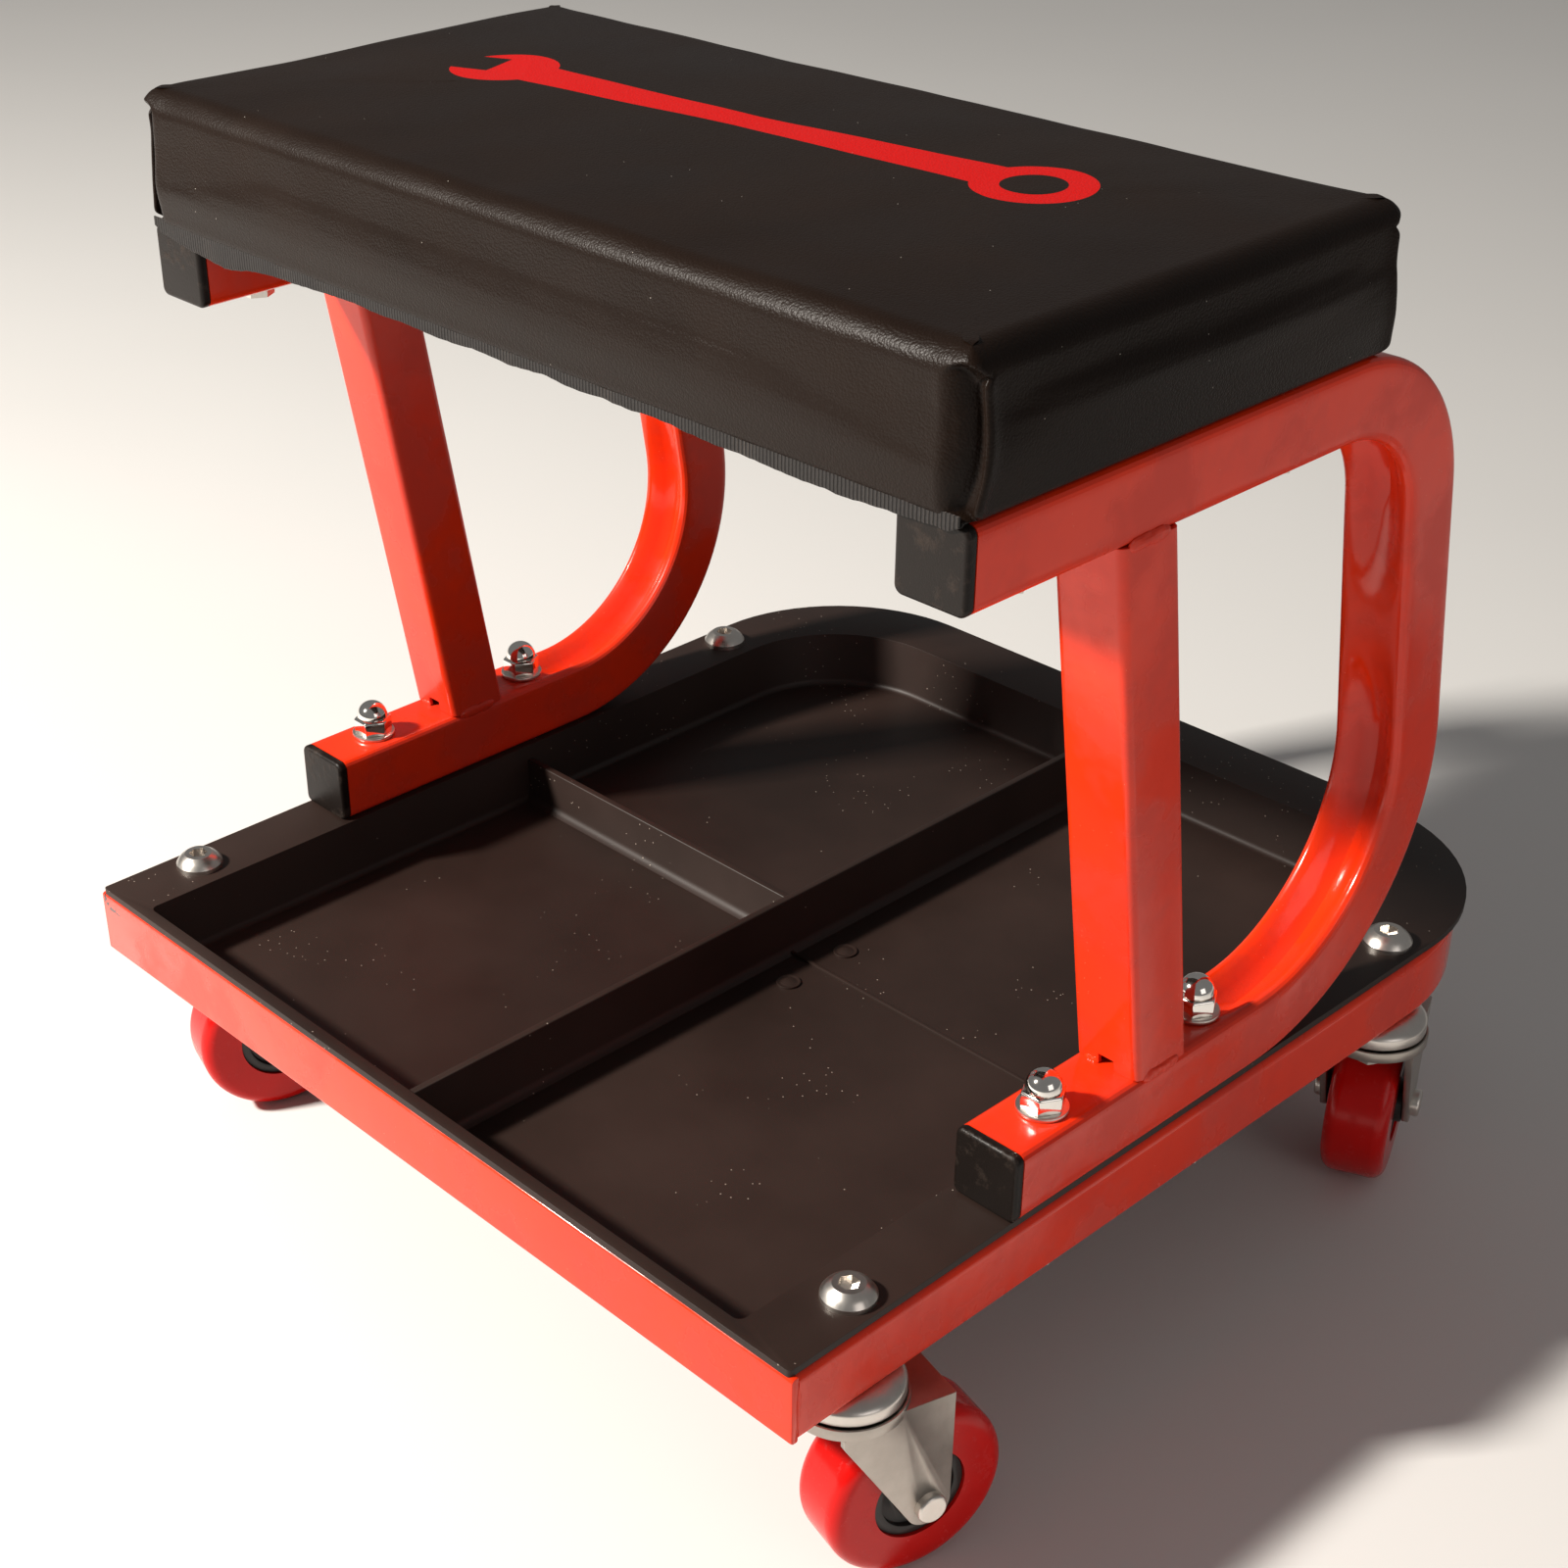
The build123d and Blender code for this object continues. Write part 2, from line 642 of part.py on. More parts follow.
def caster_bolts():
    """Socket button-head bolts that clamp tray, base tube and casters together."""
    places = list(swivel_places().values())
    rim = TRAY_TOP + BUTTON_RIM
    top = TRAY_TOP + BUTTON_HEIGHT
    with BuildPart() as bolt:
        with BuildSketch(Plane.XY.offset(LOCK_NUT_END)):
            Circle(M10_RADIUS)
        extrude(amount=TRAY_TOP - LOCK_NUT_END)
        with BuildSketch(Plane.XZ):
            with BuildLine():
                Polyline((0, TRAY_TOP), (BUTTON_RADIUS, TRAY_TOP), (BUTTON_RADIUS, rim))
                RadiusArc((BUTTON_RADIUS, rim), (BUTTON_TOP_RADIUS, top), -BUTTON_RADIUS)
                Polyline((BUTTON_TOP_RADIUS, top), (0, top), (0, TRAY_TOP))
            make_face()
        revolve(axis=Axis.Z)
        with BuildSketch(Plane.XY.offset(top)):
            hexagon(SOCKET_FLATS)
        extrude(amount=-SOCKET_DEPTH, mode=Mode.SUBTRACT)
    with BuildPart() as group:
        with Locations(*places):
            add(bolt.part)
    return group.part


def lock_nuts():
    """Thin nuts on the caster bolts, under the king pins."""
    with BuildPart() as group:
        with BuildSketch(Plane.XY.offset(LOCK_NUT_END)):
            with Locations(*swivel_places().values()):
                hexagon(HEX_M10)
                Circle(M10_RADIUS, mode=Mode.SUBTRACT)
        extrude(amount=LOCK_NUT_HEIGHT)
    return group.part


def swivel_cup():
    """The pressed upper race: a shallow dome hanging under the base tube."""
    top = CASTER_HEIGHT
    wall = CUP_RADIUS - CUP_SHEET
    with BuildPart() as cup:
        with BuildSketch(Plane.XZ):
            Polygon(
                (KING_PIN_RADIUS, top),
                (CUP_TOP_RADIUS, top),
                (wall, top - CUP_SHEET),
                (CUP_RADIUS, top - 2 * CUP_SHEET),
                (CUP_RADIUS, top - CUP_HEIGHT),
                (wall, top - CUP_HEIGHT),
                (wall, top - 2 * CUP_SHEET),
                (CUP_TOP_RADIUS, top - CUP_SHEET),
                (KING_PIN_RADIUS, top - CUP_SHEET),
                align=None,
            )
        revolve(axis=Axis.Z)
    return cup.part


def king_pin():
    """The hollow rivet that the fork turns on, flared out below the crown."""
    with BuildPart() as pin:
        with BuildSketch(Plane.XY.offset(KING_PIN_END)):
            Circle(KING_PIN_RADIUS)
        extrude(amount=CASTER_HEIGHT - KING_PIN_END)
        with BuildSketch(Plane.XY.offset(KING_PIN_END)):
            Circle(KING_PIN_HEAD_RADIUS)
        extrude(amount=KING_PIN_HEAD)
        bore = M10_RADIUS + HOLE_CLEARANCE
        vertical_holes([(0, 0)], bore, KING_PIN_END, CASTER_HEIGHT)
    return pin.part


def bearing_balls():
    """The ring of balls between the cup and the fork's crown."""
    track = CUP_RADIUS - CUP_SHEET - BALL_RADIUS
    with BuildPart() as balls:
        with Locations((0, 0, CROWN_TOP + BALL_RADIUS + RUNNING_GAP)):
            with PolarLocations(track, BALL_COUNT):
                Sphere(BALL_RADIUS)
    return balls.part


def fork():
    """The pressed fork: a round crown with a raised rim and two tapering legs, trailing along +X."""
    outside = FORK_INSIDE / 2 + FORK_SHEET
    rear = TRAIL + FORK_FOOT_RADIUS
    front = -FORK_SHOULDER_REACH
    with BuildPart() as body:
        with BuildSketch(Plane.XY.offset(CROWN_TOP)):
            Circle(CROWN_RADIUS)
            with Locations((rear / 2, 0)):
                Rectangle(rear, 2 * outside)
            Circle(KING_PIN_RADIUS + RUNNING_GAP, mode=Mode.SUBTRACT)
        extrude(amount=-FORK_SHEET)
        with BuildSketch(Plane.XY.offset(CROWN_TOP)):
            Circle(CROWN_RADIUS)
            Circle(CUP_RADIUS, mode=Mode.SUBTRACT)
        extrude(amount=CROWN_RIM)
        # Each leg is the hull of its rounded foot and its shoulder under the crown
        for side in (-1, 1):
            with BuildSketch(Plane.XZ.offset(side * outside)):
                with Locations((TRAIL, AXLE_HEIGHT)):
                    Circle(FORK_FOOT_RADIUS)
                with Locations(((front + rear) / 2, CROWN_TOP - FORK_SHOULDER / 2)):
                    Rectangle(rear - front, FORK_SHOULDER)
                make_hull()
                with Locations((TRAIL, AXLE_HEIGHT)):
                    Circle(AXLE_RADIUS, mode=Mode.SUBTRACT)
            extrude(amount=-side * FORK_SHEET)
    return body.part


def axle():
    """The axle rivet, headed on both ends."""
    half = FORK_INSIDE / 2 + FORK_SHEET
    with BuildPart() as pin:
        with BuildSketch(Plane.XZ.offset(-half)):
            with Locations((TRAIL, AXLE_HEIGHT)):
                Circle(AXLE_RADIUS)
        extrude(amount=2 * half)
        for side in (-1, 1):
            with BuildSketch(Plane.XZ.offset(side * half)):
                with Locations((TRAIL, AXLE_HEIGHT)):
                    Circle(AXLE_HEAD_RADIUS)
            extrude(amount=side * AXLE_HEAD)
        ends = pin.edges().group_by(Axis.Y)
        fillet(ends[0] + ends[-1], radius=AXLE_HEAD / 3)
    return pin.part


def wheel_ring(points):
    """A ring about the axle from its half section, given as (distance along the axle, radius) points."""
    with BuildPart() as ring:
        with BuildSketch(Plane.YZ.offset(TRAIL)):
            Polygon(*[(y, AXLE_HEIGHT + r) for y, r in points], align=None)
        revolve(axis=Axis((TRAIL, 0, AXLE_HEIGHT), (0, 1, 0)))
    return ring.part


def axle_sleeve():
    """The steel spacer tube on the axle, clamped between the fork's legs."""
    half = FORK_INSIDE / 2
    return wheel_ring(
        [
            (-half, AXLE_RADIUS),
            (half, AXLE_RADIUS),
            (half, SLEEVE_RADIUS),
            (-half, SLEEVE_RADIUS),
        ]
    )


def hub():
    """The moulded wheel centre: a bored boss, a recessed web and a rim that carries the tread."""
    boss = FORK_INSIDE / 2 - BOSS_END_GAP
    rim = WHEEL_WIDTH / 2 - 1
    web = rim - HUB_RECESS
    bore = SLEEVE_RADIUS + RUNNING_GAP
    outer = HUB_DIAMETER / 2
    half = [
        (boss, bore),
        (boss, BOSS_RADIUS),
        (web, BOSS_RADIUS),
        (web, outer - HUB_RIM),
        (rim, outer - HUB_RIM),
        (rim, outer),
    ]
    return wheel_ring(half + [(-y, r) for y, r in reversed(half)])


def tread():
    """The polyurethane tyre cast on the hub, with rounded shoulders."""
    outer = WHEEL_DIAMETER / 2
    half = WHEEL_WIDTH / 2
    with BuildPart() as tyre:
        add(
            wheel_ring(
                [
                    (-half, HUB_DIAMETER / 2),
                    (half, HUB_DIAMETER / 2),
                    (half, outer),
                    (-half, outer),
                ]
            )
        )
        rims = [
            e
            for e in tyre.edges().filter_by(GeomType.CIRCLE)
            if abs(e.radius - outer) < 0.01
        ]
        fillet(rims, radius=WHEEL_SHOULDER)
    return tyre.part


CASTER_PIECES = {
    "cup": swivel_cup,
    "king_pin": king_pin,
    "balls": bearing_balls,
    "fork": fork,
    "axle": axle,
    "sleeve": axle_sleeve,
    "hub": hub,
    "tread": tread,
}


def casters():
    """Every piece of every caster, placed at its swivel and turned to its trailing angle."""
    shapes = {name: make() for name, make in CASTER_PIECES.items()}
    for corner, (x, y) in swivel_places().items():
        for name, shape in shapes.items():
            placed = Location((x, y, 0), (0, 0, TRAIL_ANGLES[corner])) * shape
            save(placed, f"caster_{corner}_{name}")


def main():
    os.makedirs("parts", exist_ok=True)
    save(base_tube(), "base_tube")
    save(front_bar(), "front_bar")
    save(tray(), "tool_tray")
    for side, sign in SIDES.items():
        save(c_tube(sign), f"c_frame_{side}")
        save(strut(sign), f"strut_{side}")
        save(
            end_cap(sign, C_LOWER_FRONT, TRAY_TOP + TUBE / 2), f"lower_end_cap_{side}"
        )
        save(
            end_cap(sign, C_UPPER_FRONT, SEAT_BASE - TUBE / 2), f"upper_end_cap_{side}"
        )
    save(c_bolts(), "c_frame_bolts")
    save(c_washers(), "c_frame_washers")
    save(acorn_nuts(), "acorn_nuts")
    save(seat_board(), "seat_board")
    save(seat_foam(), "seat_foam")
    save(seat_cover(), "seat_cover")
    save(seat_lining(), "seat_lining")
    save(staples(), "lining_staples")
    save(seat_bolts(), "seat_bolts")
    save(t_nuts(), "seat_t_nuts")
    save(caster_bolts(), "caster_bolts")
    save(lock_nuts(), "caster_lock_nuts")
    casters()


main()
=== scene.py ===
import math

import bpy
from mathutils import Matrix, Vector, kdtree, noise


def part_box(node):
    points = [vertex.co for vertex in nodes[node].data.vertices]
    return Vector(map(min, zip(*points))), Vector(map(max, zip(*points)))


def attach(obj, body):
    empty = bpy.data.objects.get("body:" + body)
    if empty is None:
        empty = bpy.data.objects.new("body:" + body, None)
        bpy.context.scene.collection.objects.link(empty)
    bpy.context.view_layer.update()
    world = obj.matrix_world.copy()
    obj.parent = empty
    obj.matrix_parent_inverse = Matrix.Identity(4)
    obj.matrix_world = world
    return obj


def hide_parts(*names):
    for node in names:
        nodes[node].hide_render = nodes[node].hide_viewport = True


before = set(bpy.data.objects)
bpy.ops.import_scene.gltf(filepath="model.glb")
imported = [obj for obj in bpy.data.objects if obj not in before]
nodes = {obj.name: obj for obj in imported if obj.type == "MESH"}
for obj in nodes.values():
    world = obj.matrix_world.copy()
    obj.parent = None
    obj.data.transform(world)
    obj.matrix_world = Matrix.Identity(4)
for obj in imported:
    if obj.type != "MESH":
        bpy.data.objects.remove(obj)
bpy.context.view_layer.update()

bpy.ops.object.select_all(action="DESELECT")

# --- Studio ---------------------------------------------------------------------------------------
# A pale floor under a soft sky, one large key lamp high on the front left, and a weak fill lamp on
# the right. The camera stands to the right of the seat's front and looks down on it.

floor_size = 30.0
camera_place = Vector((0.5519, -0.5764, 0.5975))
camera_azimuth = math.radians(48.197)
camera_elevation = math.radians(31.166)
camera_roll = math.radians(-1.104)
camera_lens = 57.08
camera_shift = (0.0826, 0.056)
key_direction = Vector((-0.63, -1.17, 1.0)).normalized()
fill_direction = Vector((1.0, -0.15, 0.35)).normalized()
lamp_distance = 2.4
look_at = Vector((0, 0, 0.2))

back = Vector((
    math.sin(camera_azimuth) * math.cos(camera_elevation),
    -math.cos(camera_azimuth) * math.cos(camera_elevation),
    math.sin(camera_elevation),
))
right = Vector((math.cos(camera_azimuth), math.sin(camera_azimuth), 0))
up = back.cross(right)
tilted_right = right * math.cos(camera_roll) + up * math.sin(camera_roll)
tilted_up = up * math.cos(camera_roll) - right * math.sin(camera_roll)
turn = Matrix((tilted_right, tilted_up, back)).transposed()

bpy.ops.object.camera_add(location=camera_place, rotation=turn.to_euler())
camera = bpy.context.object
camera.data.lens = camera_lens
camera.data.sensor_width = 36
camera.data.shift_x, camera.data.shift_y = camera_shift
camera.data.clip_start = 0.01
bpy.context.scene.camera = camera


def lamp(name, direction, size, power, colour):
    """A square lamp that faces the seat from the given direction."""
    place = look_at + direction * lamp_distance
    facing = direction.to_track_quat("Z", "Y").to_euler()
    bpy.ops.object.light_add(type="AREA", location=place, rotation=facing)
    light = bpy.context.object
    light.name = name
    light.data.size = size
    light.data.energy = power
    light.data.color = colour


lamp("key_lamp", key_direction, 0.2, 122, (1.0, 0.94, 0.86))
lamp("fill_lamp", fill_direction, 1.2, 5, (1.0, 0.94, 0.9))

world = bpy.data.worlds.new("studio_sky")
bpy.context.scene.world = world
world.use_nodes = True
world.node_tree.nodes["Background"].inputs["Color"].default_value = (1.0, 0.985, 0.97, 1)
world.node_tree.nodes["Background"].inputs["Strength"].default_value = 0.17
bpy.context.scene.view_settings.view_transform = "Standard"

bpy.ops.mesh.primitive_plane_add(size=floor_size)
studio_floor = bpy.context.object
studio_floor.name = "studio_floor"


class Shade:
    """A socket in a material's node tree. Arithmetic on it adds Math nodes."""

    def __init__(self, tree, socket=None):
        self.tree = tree
        self.socket = socket

    def add(self, kind, settings, inputs, output=0):
        """Adds a node, sets it up, feeds its sockets and returns one of its outputs."""
        node = self.tree.nodes.new("ShaderNode" + kind)
        for name, value in settings.items():
            if name == "stops":
                ramp = node.color_ramp
                while len(ramp.elements) < len(value):
                    ramp.elements.new(1.0)
                for element, (place, grey) in zip(ramp.elements, value):
                    element.position = place
                    element.color = (grey, grey, grey, 1)
            else:
                setattr(node, name, value)
        for name, value in inputs.items():
            if isinstance(value, Shade):
                self.tree.links.new(value.socket, node.inputs[name])
            else:
                node.inputs[name].default_value = value
        return Shade(self.tree, node.outputs[output])

    def math(self, operation, first, second=0.0):
        return self.add("Math", {"operation": operation}, {0: first, 1: second})

    def root(self):
        return self.math("SQRT", self)

    def sine(self):
        return self.math("SINE", self)

    def size(self):
        """This value without its sign."""
        return self.math("ABSOLUTE", self)

    def at_most(self, ceiling):
        return self.math("MINIMUM", self, ceiling)

    def __add__(self, other):
        return self.math("ADD", self, other)

    __radd__ = __add__

    def __sub__(self, other):
        return self.math("SUBTRACT", self, other)

    def __rsub__(self, other):
        return self.math("SUBTRACT", other, self)

    def __mul__(self, other):
        return self.math("MULTIPLY", self, other)

    __rmul__ = __mul__

    def __gt__(self, other):
        return self.math("GREATER_THAN", self, other)

    def __lt__(self, other):
        return self.math("LESS_THAN", self, other)

    def place(self):
        """Object coordinates, in metres."""
        return self.add("TexCoord", {}, {}, "Object")

    def along(self, axis):
        """How far along X, Y or Z the surface is, in metres."""
        return self.add("SeparateXYZ", {}, {"Vector": self.place()}, axis)

    def stretched(self, scale, turn=(0, 0, 0)):
        """Object coordinates scaled and turned, for marks that run one way."""
        return self.add(
            "Mapping", {}, {"Vector": self.place(), "Scale": scale, "Rotation": turn}
        )

    def noise(self, scale, detail=3.0, where=None, roughness=0.55):
        """Cloudy noise from 0 to 1, with scale in features per metre."""
        return self.add(
            "TexNoise",
            {},
            {
                "Vector": where or self.place(),
                "Scale": scale,
                "Detail": detail,
                "Roughness": roughness,
            },
        )

    def cells(self, scale):
        """Distance to the nearest of scattered points."""
        return self.add("TexVoronoi", {}, {"Vector": self.place(), "Scale": scale})

    def ramp(self, *stops):
        """This value through a ramp of (place, level) stops."""
        return self.add("ValToRGB", {"stops": stops}, {"Fac": self})

    def mix(self, first, second):
        """A colour between first, where this value is 0, and second, where it is 1."""
        return self.add("Mix", {"data_type": "RGBA"}, {0: self, 6: first, 7: second}, 2)

    def bump(self, depth, strength=1.0):
        """A normal from this value as a height of depth metres."""
        return self.add("Bump", {}, {"Height": self, "Distance": depth, "Strength": strength})


def finish(name, inputs):
    """A new material. inputs takes its Shade start and gives its Principled sockets."""
    material = bpy.data.materials.new(name)
    material.use_nodes = True
    tree = material.node_tree
    shader = tree.nodes["Principled BSDF"]
    for socket, value in inputs(Shade(tree)).items():
        if isinstance(value, Shade):
            tree.links.new(value.socket, shader.inputs[socket])
        else:
            shader.inputs[socket].default_value = value
    return material


def paint_nodes(material, *names):
    """Gives CAD nodes a material."""
    for name in names:
        mesh = nodes[name].data
        mesh.materials.clear()
        mesh.materials.append(material)


def pale_floor(start):
    cloud = start.noise(1.5)
    return {
        "Base Color": cloud.mix((0.70, 0.695, 0.685, 1), (0.75, 0.745, 0.735, 1)),
        "Roughness": 0.6 + 0.1 * cloud,
    }


studio_floor.data.materials.append(finish("pale_floor", pale_floor))

# --- Base -----------------------------------------------------------------------------------------
# A U of 25 mm square steel tube, bent cold, with a flat bar welded across its open front. It is
# stoved in one thick coat of gloss orange-red enamel, which dulls where hands and dust go.


def enamel(start):
    haze = start.noise(26, 4, roughness=0.6)
    film = start.noise(9, 5, roughness=0.65)
    specks = start.cells(420)
    rub = haze.ramp((0.46, 0.0), (0.62, 1.0))
    dust = (specks < 0.05) * (start.noise(40) > 0.56)
    peel = start.noise(330, 2)
    sag = start.noise(38, 2)
    top_edge = (start.along("Z") > 0.1035) * (start.along("Z") < 0.1096)
    at_corner = (start.along("X") < -0.172) * (start.along("Y") < -0.170) * top_edge
    chip = at_corner * (start.noise(260, 3) > 0.52)
    tired = film.ramp((0.35, 0.0), (0.65, 1.0))
    clean = tired.mix((0.84, 0.036, 0.004, 1), (0.72, 0.028, 0.006, 1))
    base = (rub * 0.6).mix(clean, (0.58, 0.034, 0.016, 1))
    return {
        "Base Color": chip.mix(dust.mix(base, (0.85, 0.25, 0.15, 1)), (0.045, 0.012, 0.010, 1)),
        "Roughness": 0.16 + 0.22 * rub + 0.2 * dust,
        "Coat Weight": 0.12,
        "Coat Roughness": 0.05,
        "Specular IOR Level": 0.36,
        "Normal": (peel * 0.25 + sag - chip).bump(0.00035, 0.6),
    }


red_paint = finish("enamel", enamel)
paint_nodes(red_paint, "base_tube")


def shape_of(obj, *materials):
    """Leaves edit mode, applies every modifier and finishes obj with its materials."""
    if bpy.context.object and bpy.context.object.mode == "EDIT":
        bpy.ops.object.mode_set(mode="OBJECT")
    bpy.ops.object.select_all(action="DESELECT")
    bpy.context.view_layer.objects.active = obj
    obj.select_set(True)
    bpy.ops.object.transform_apply(location=True, rotation=True, scale=True)
    for modifier in list(obj.modifiers):
        bpy.ops.object.modifier_apply(modifier=modifier.name)
    bpy.ops.object.shade_smooth_by_angle(angle=math.radians(38))
    obj.data.materials.clear()
    for material in materials:
        obj.data.materials.append(material)
    bpy.ops.object.select_all(action="DESELECT")
    return obj


def hand_in(obj, body, slot, *replaced):
    """Puts a finished piece on its body, in place of its CAD nodes. slot is not used."""
    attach(obj, body)
    if replaced:
        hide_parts(*replaced)


def soften(obj, width, segments):
    """Rounds over every sharp edge of obj."""
    bevel = obj.modifiers.new("soft_edge", "BEVEL")
    bevel.width = width
    bevel.segments = segments
    bevel.limit_method = "ANGLE"
    bevel.angle_limit = math.radians(32)


def softened(node, width, segments, material, body, slot):
    """A welded copy of a CAD node with its sharp edges rounded over, which stands for it."""
    copy = bpy.data.objects.new(f"{node}_softened", nodes[node].data.copy())
    bpy.context.collection.objects.link(copy)
    bpy.ops.object.select_all(action="DESELECT")
    bpy.context.view_layer.objects.active = copy
    copy.select_set(True)
    bpy.ops.mesh.customdata_custom_splitnormals_clear()
    bpy.ops.object.mode_set(mode="EDIT")
    bpy.ops.mesh.select_all(action="SELECT")
    bpy.ops.mesh.remove_doubles(threshold=1e-5)
    bpy.ops.mesh.dissolve_limited(angle_limit=math.radians(1))
    bpy.ops.object.mode_set(mode="OBJECT")
    soften(copy, width, segments)
    shape_of(copy, material)
    hand_in(copy, body, slot, node)
    return copy


softened("front_bar", 0.0006, 2, red_paint, "frame", "red_paint")


def weld_bead(name, first, last, proud, radius):
    """Lays a rippled bead of weld metal from first to last, flattened along the proud axis."""
    way = last - first
    bpy.ops.object.select_all(action="DESELECT")
    bpy.ops.mesh.primitive_cylinder_add(
        vertices=16,
        radius=radius,
        depth=way.length,
        end_fill_type="TRIFAN",
        location=(first + last) / 2,
        rotation=way.to_track_quat("Z", "Y").to_euler(),
    )
    bead = bpy.context.object
    bead.name = name
    bpy.ops.object.transform_apply(location=True, rotation=True, scale=True)
    bpy.ops.object.mode_set(mode="EDIT")
    bpy.ops.mesh.select_all(action="SELECT")
    bpy.ops.mesh.bisect(plane_co=(first + last) / 2, plane_no=way)
    bpy.ops.mesh.select_all(action="SELECT")
    bpy.ops.mesh.subdivide(number_cuts=9, smoothness=0)
    bpy.ops.object.mode_set(mode="OBJECT")
    unit = way.normalized()
    middle = (first + last) / 2
    flattening = 0.45
    ripples_per_metre = 1500
    lumps_per_metre = 420
    for vertex in bead.data.vertices:
        along = (vertex.co - middle).dot(unit)
        off_axis = vertex.co - middle - unit * along
        end = 1 - (abs(along) / (way.length / 2)) ** 6
        ripple = 0.80 + 0.16 * abs(math.sin(along * ripples_per_metre))
        ripple += 0.22 * noise.noise(vertex.co * lumps_per_metre)
        off_axis -= proud * off_axis.dot(proud) * flattening
        vertex.co = middle + unit * along + off_axis * ripple * (0.35 + 0.65 * end)
    soft = bead.modifiers.new("melt", "SUBSURF")
    soft.levels = soft.render_levels = 1
    shape_of(bead, red_paint)
    hand_in(bead, "frame", "red_paint")


bar_low, bar_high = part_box("front_bar")
for side, sign in (("left", -1), ("right", 1)):
    seam = sign * (bar_high.x - 0.0006)
    weld_bead(
        f"bar_weld_{side}",
        Vector((seam, bar_high.y + 0.0004, bar_low.z + 0.002)),
        Vector((seam, bar_high.y + 0.0004, bar_high.z - 0.003)),
        Vector((1, 0, 0)),
        0.0013,
    )

# --- Side frames ----------------------------------------------------------------------------------
# Each side is one tube bent twice into a C and leaning forward. The bender folds the tube's inner
# wall in, so a smooth hollow runs round each bend. A straight strut is welded between the arms.

tube = 0.025
tube_corner = 0.003
lean = math.radians(9.5)
low_bend, high_bend = 0.074, 0.050
arm_setback = 0.0375
hollow_depth = 0.0078
low_hollow_fade, high_hollow_fade = 0.030, 0.020


def side_frame(side):
    """Bends one C-shaped side frame and presses the hollows that the bender leaves inside it."""
    low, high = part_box(f"c_frame_{side}")
    x = (low.x + high.x) / 2
    arm_low = low.z + tube / 2
    arm_high = high.z - tube / 2
    front_low = low.y + arm_setback
    low_centre = Vector((x, high.y - tube / 2 - low_bend, arm_low + low_bend))
    high_z = arm_high - high_bend
    leg_out = Vector((0, math.cos(lean), math.sin(lean)))
    leg_foot = low_centre + low_bend * leg_out
    leg = (high_z + high_bend * math.sin(lean) - leg_foot.z) / math.cos(lean)
    leg_way = Vector((0, -math.sin(lean), math.cos(lean)))
    leg_top = leg_foot + leg_way * leg
    high_centre = leg_top - high_bend * leg_out

    bpy.ops.object.select_all(action="DESELECT")
    bpy.ops.mesh.primitive_plane_add(
        size=tube, location=(x, front_low, arm_low), rotation=(math.pi / 2, 0, 0)
    )
    frame_tube = bpy.context.object
    frame_tube.name = f"side_frame_tube_{side}"
    bpy.ops.object.transform_apply(location=True, rotation=True, scale=True)
    bpy.ops.object.mode_set(mode="EDIT")
    bpy.ops.mesh.bevel(offset=tube_corner, segments=4, affect="VERTICES")
    bpy.ops.object.mode_set(mode="OBJECT")
    for edge in frame_tube.data.edges:
        ends = [frame_tube.data.vertices[i].co for i in edge.vertices]
        edge.select = (ends[0] - ends[1]).length > tube_corner * 2
    bpy.ops.object.mode_set(mode="EDIT")
    bpy.ops.mesh.subdivide(number_cuts=7)
    bpy.ops.mesh.select_all(action="SELECT")
    bpy.ops.mesh.delete(type="ONLY_FACE")
    bpy.ops.mesh.select_all(action="SELECT")

    def run(way, length, steps):
        for _ in range(steps):
            bpy.ops.mesh.extrude_edges_move(
                TRANSFORM_OT_translate={"value": way * (length / steps)}
            )

    run(Vector((0, 1, 0)), low_centre.y - front_low, 12)
    bpy.ops.mesh.spin(steps=30, angle=-math.pi / 2 - lean, center=low_centre, axis=(1, 0, 0))
    run(leg_way, leg, 14)
    bpy.ops.mesh.spin(steps=26, angle=lean - math.pi / 2, center=high_centre, axis=(1, 0, 0))
    run(Vector((0, -1, 0)), high_centre.y - low.y, 14)
    bpy.ops.mesh.select_all(action="SELECT")
    bpy.ops.mesh.remove_doubles(threshold=1e-5)
    bpy.ops.mesh.fill_holes(sides=0)
    bpy.ops.mesh.normals_make_consistent(inside=False)
    bpy.ops.object.mode_set(mode="OBJECT")

    flat = tube / 2 - tube_corner * 0.6
    down, level_up, forward = Vector((0, 0, -1)), Vector((0, 0, 1)), Vector((0, -1, 0))
    bends = (
        (low_centre, low_bend, leg_way, leg_out, forward, down, low_hollow_fade),
        (high_centre, high_bend, -leg_way, leg_out, forward, level_up, high_hollow_fade),
    )
    for vertex in frame_tube.data.vertices:
        place = vertex.co
        across = (place.x - x) / flat
        if abs(across) >= 1:
            continue
        for centre, bend, up_leg, leg_side, along_arm, arm_side, arm_fade in bends:
            arm = place - centre
            on_leg, on_arm = arm.dot(up_leg), arm.dot(along_arm)
            if on_leg > 0:
                away, reach, fade = leg_side, arm.dot(leg_side), 1 - on_leg / (leg / 2)
            elif on_arm > 0:
                away, reach, fade = arm_side, arm.dot(arm_side), 1 - on_arm / arm_fade
            else:
                away, reach, fade = Vector((0, arm.y, arm.z)).normalized(), arm.yz.length, 1
            if not 0 < reach < bend or fade <= 0:
                continue
            fade = (1 - math.cos(math.pi * fade)) / 2
            vertex.co = place + away * hollow_depth * fade * (1 + math.cos(math.pi * across)) / 2
            break
    shape_of(frame_tube, red_paint)
    hand_in(frame_tube, "frame", "red_paint", f"c_frame_{side}")


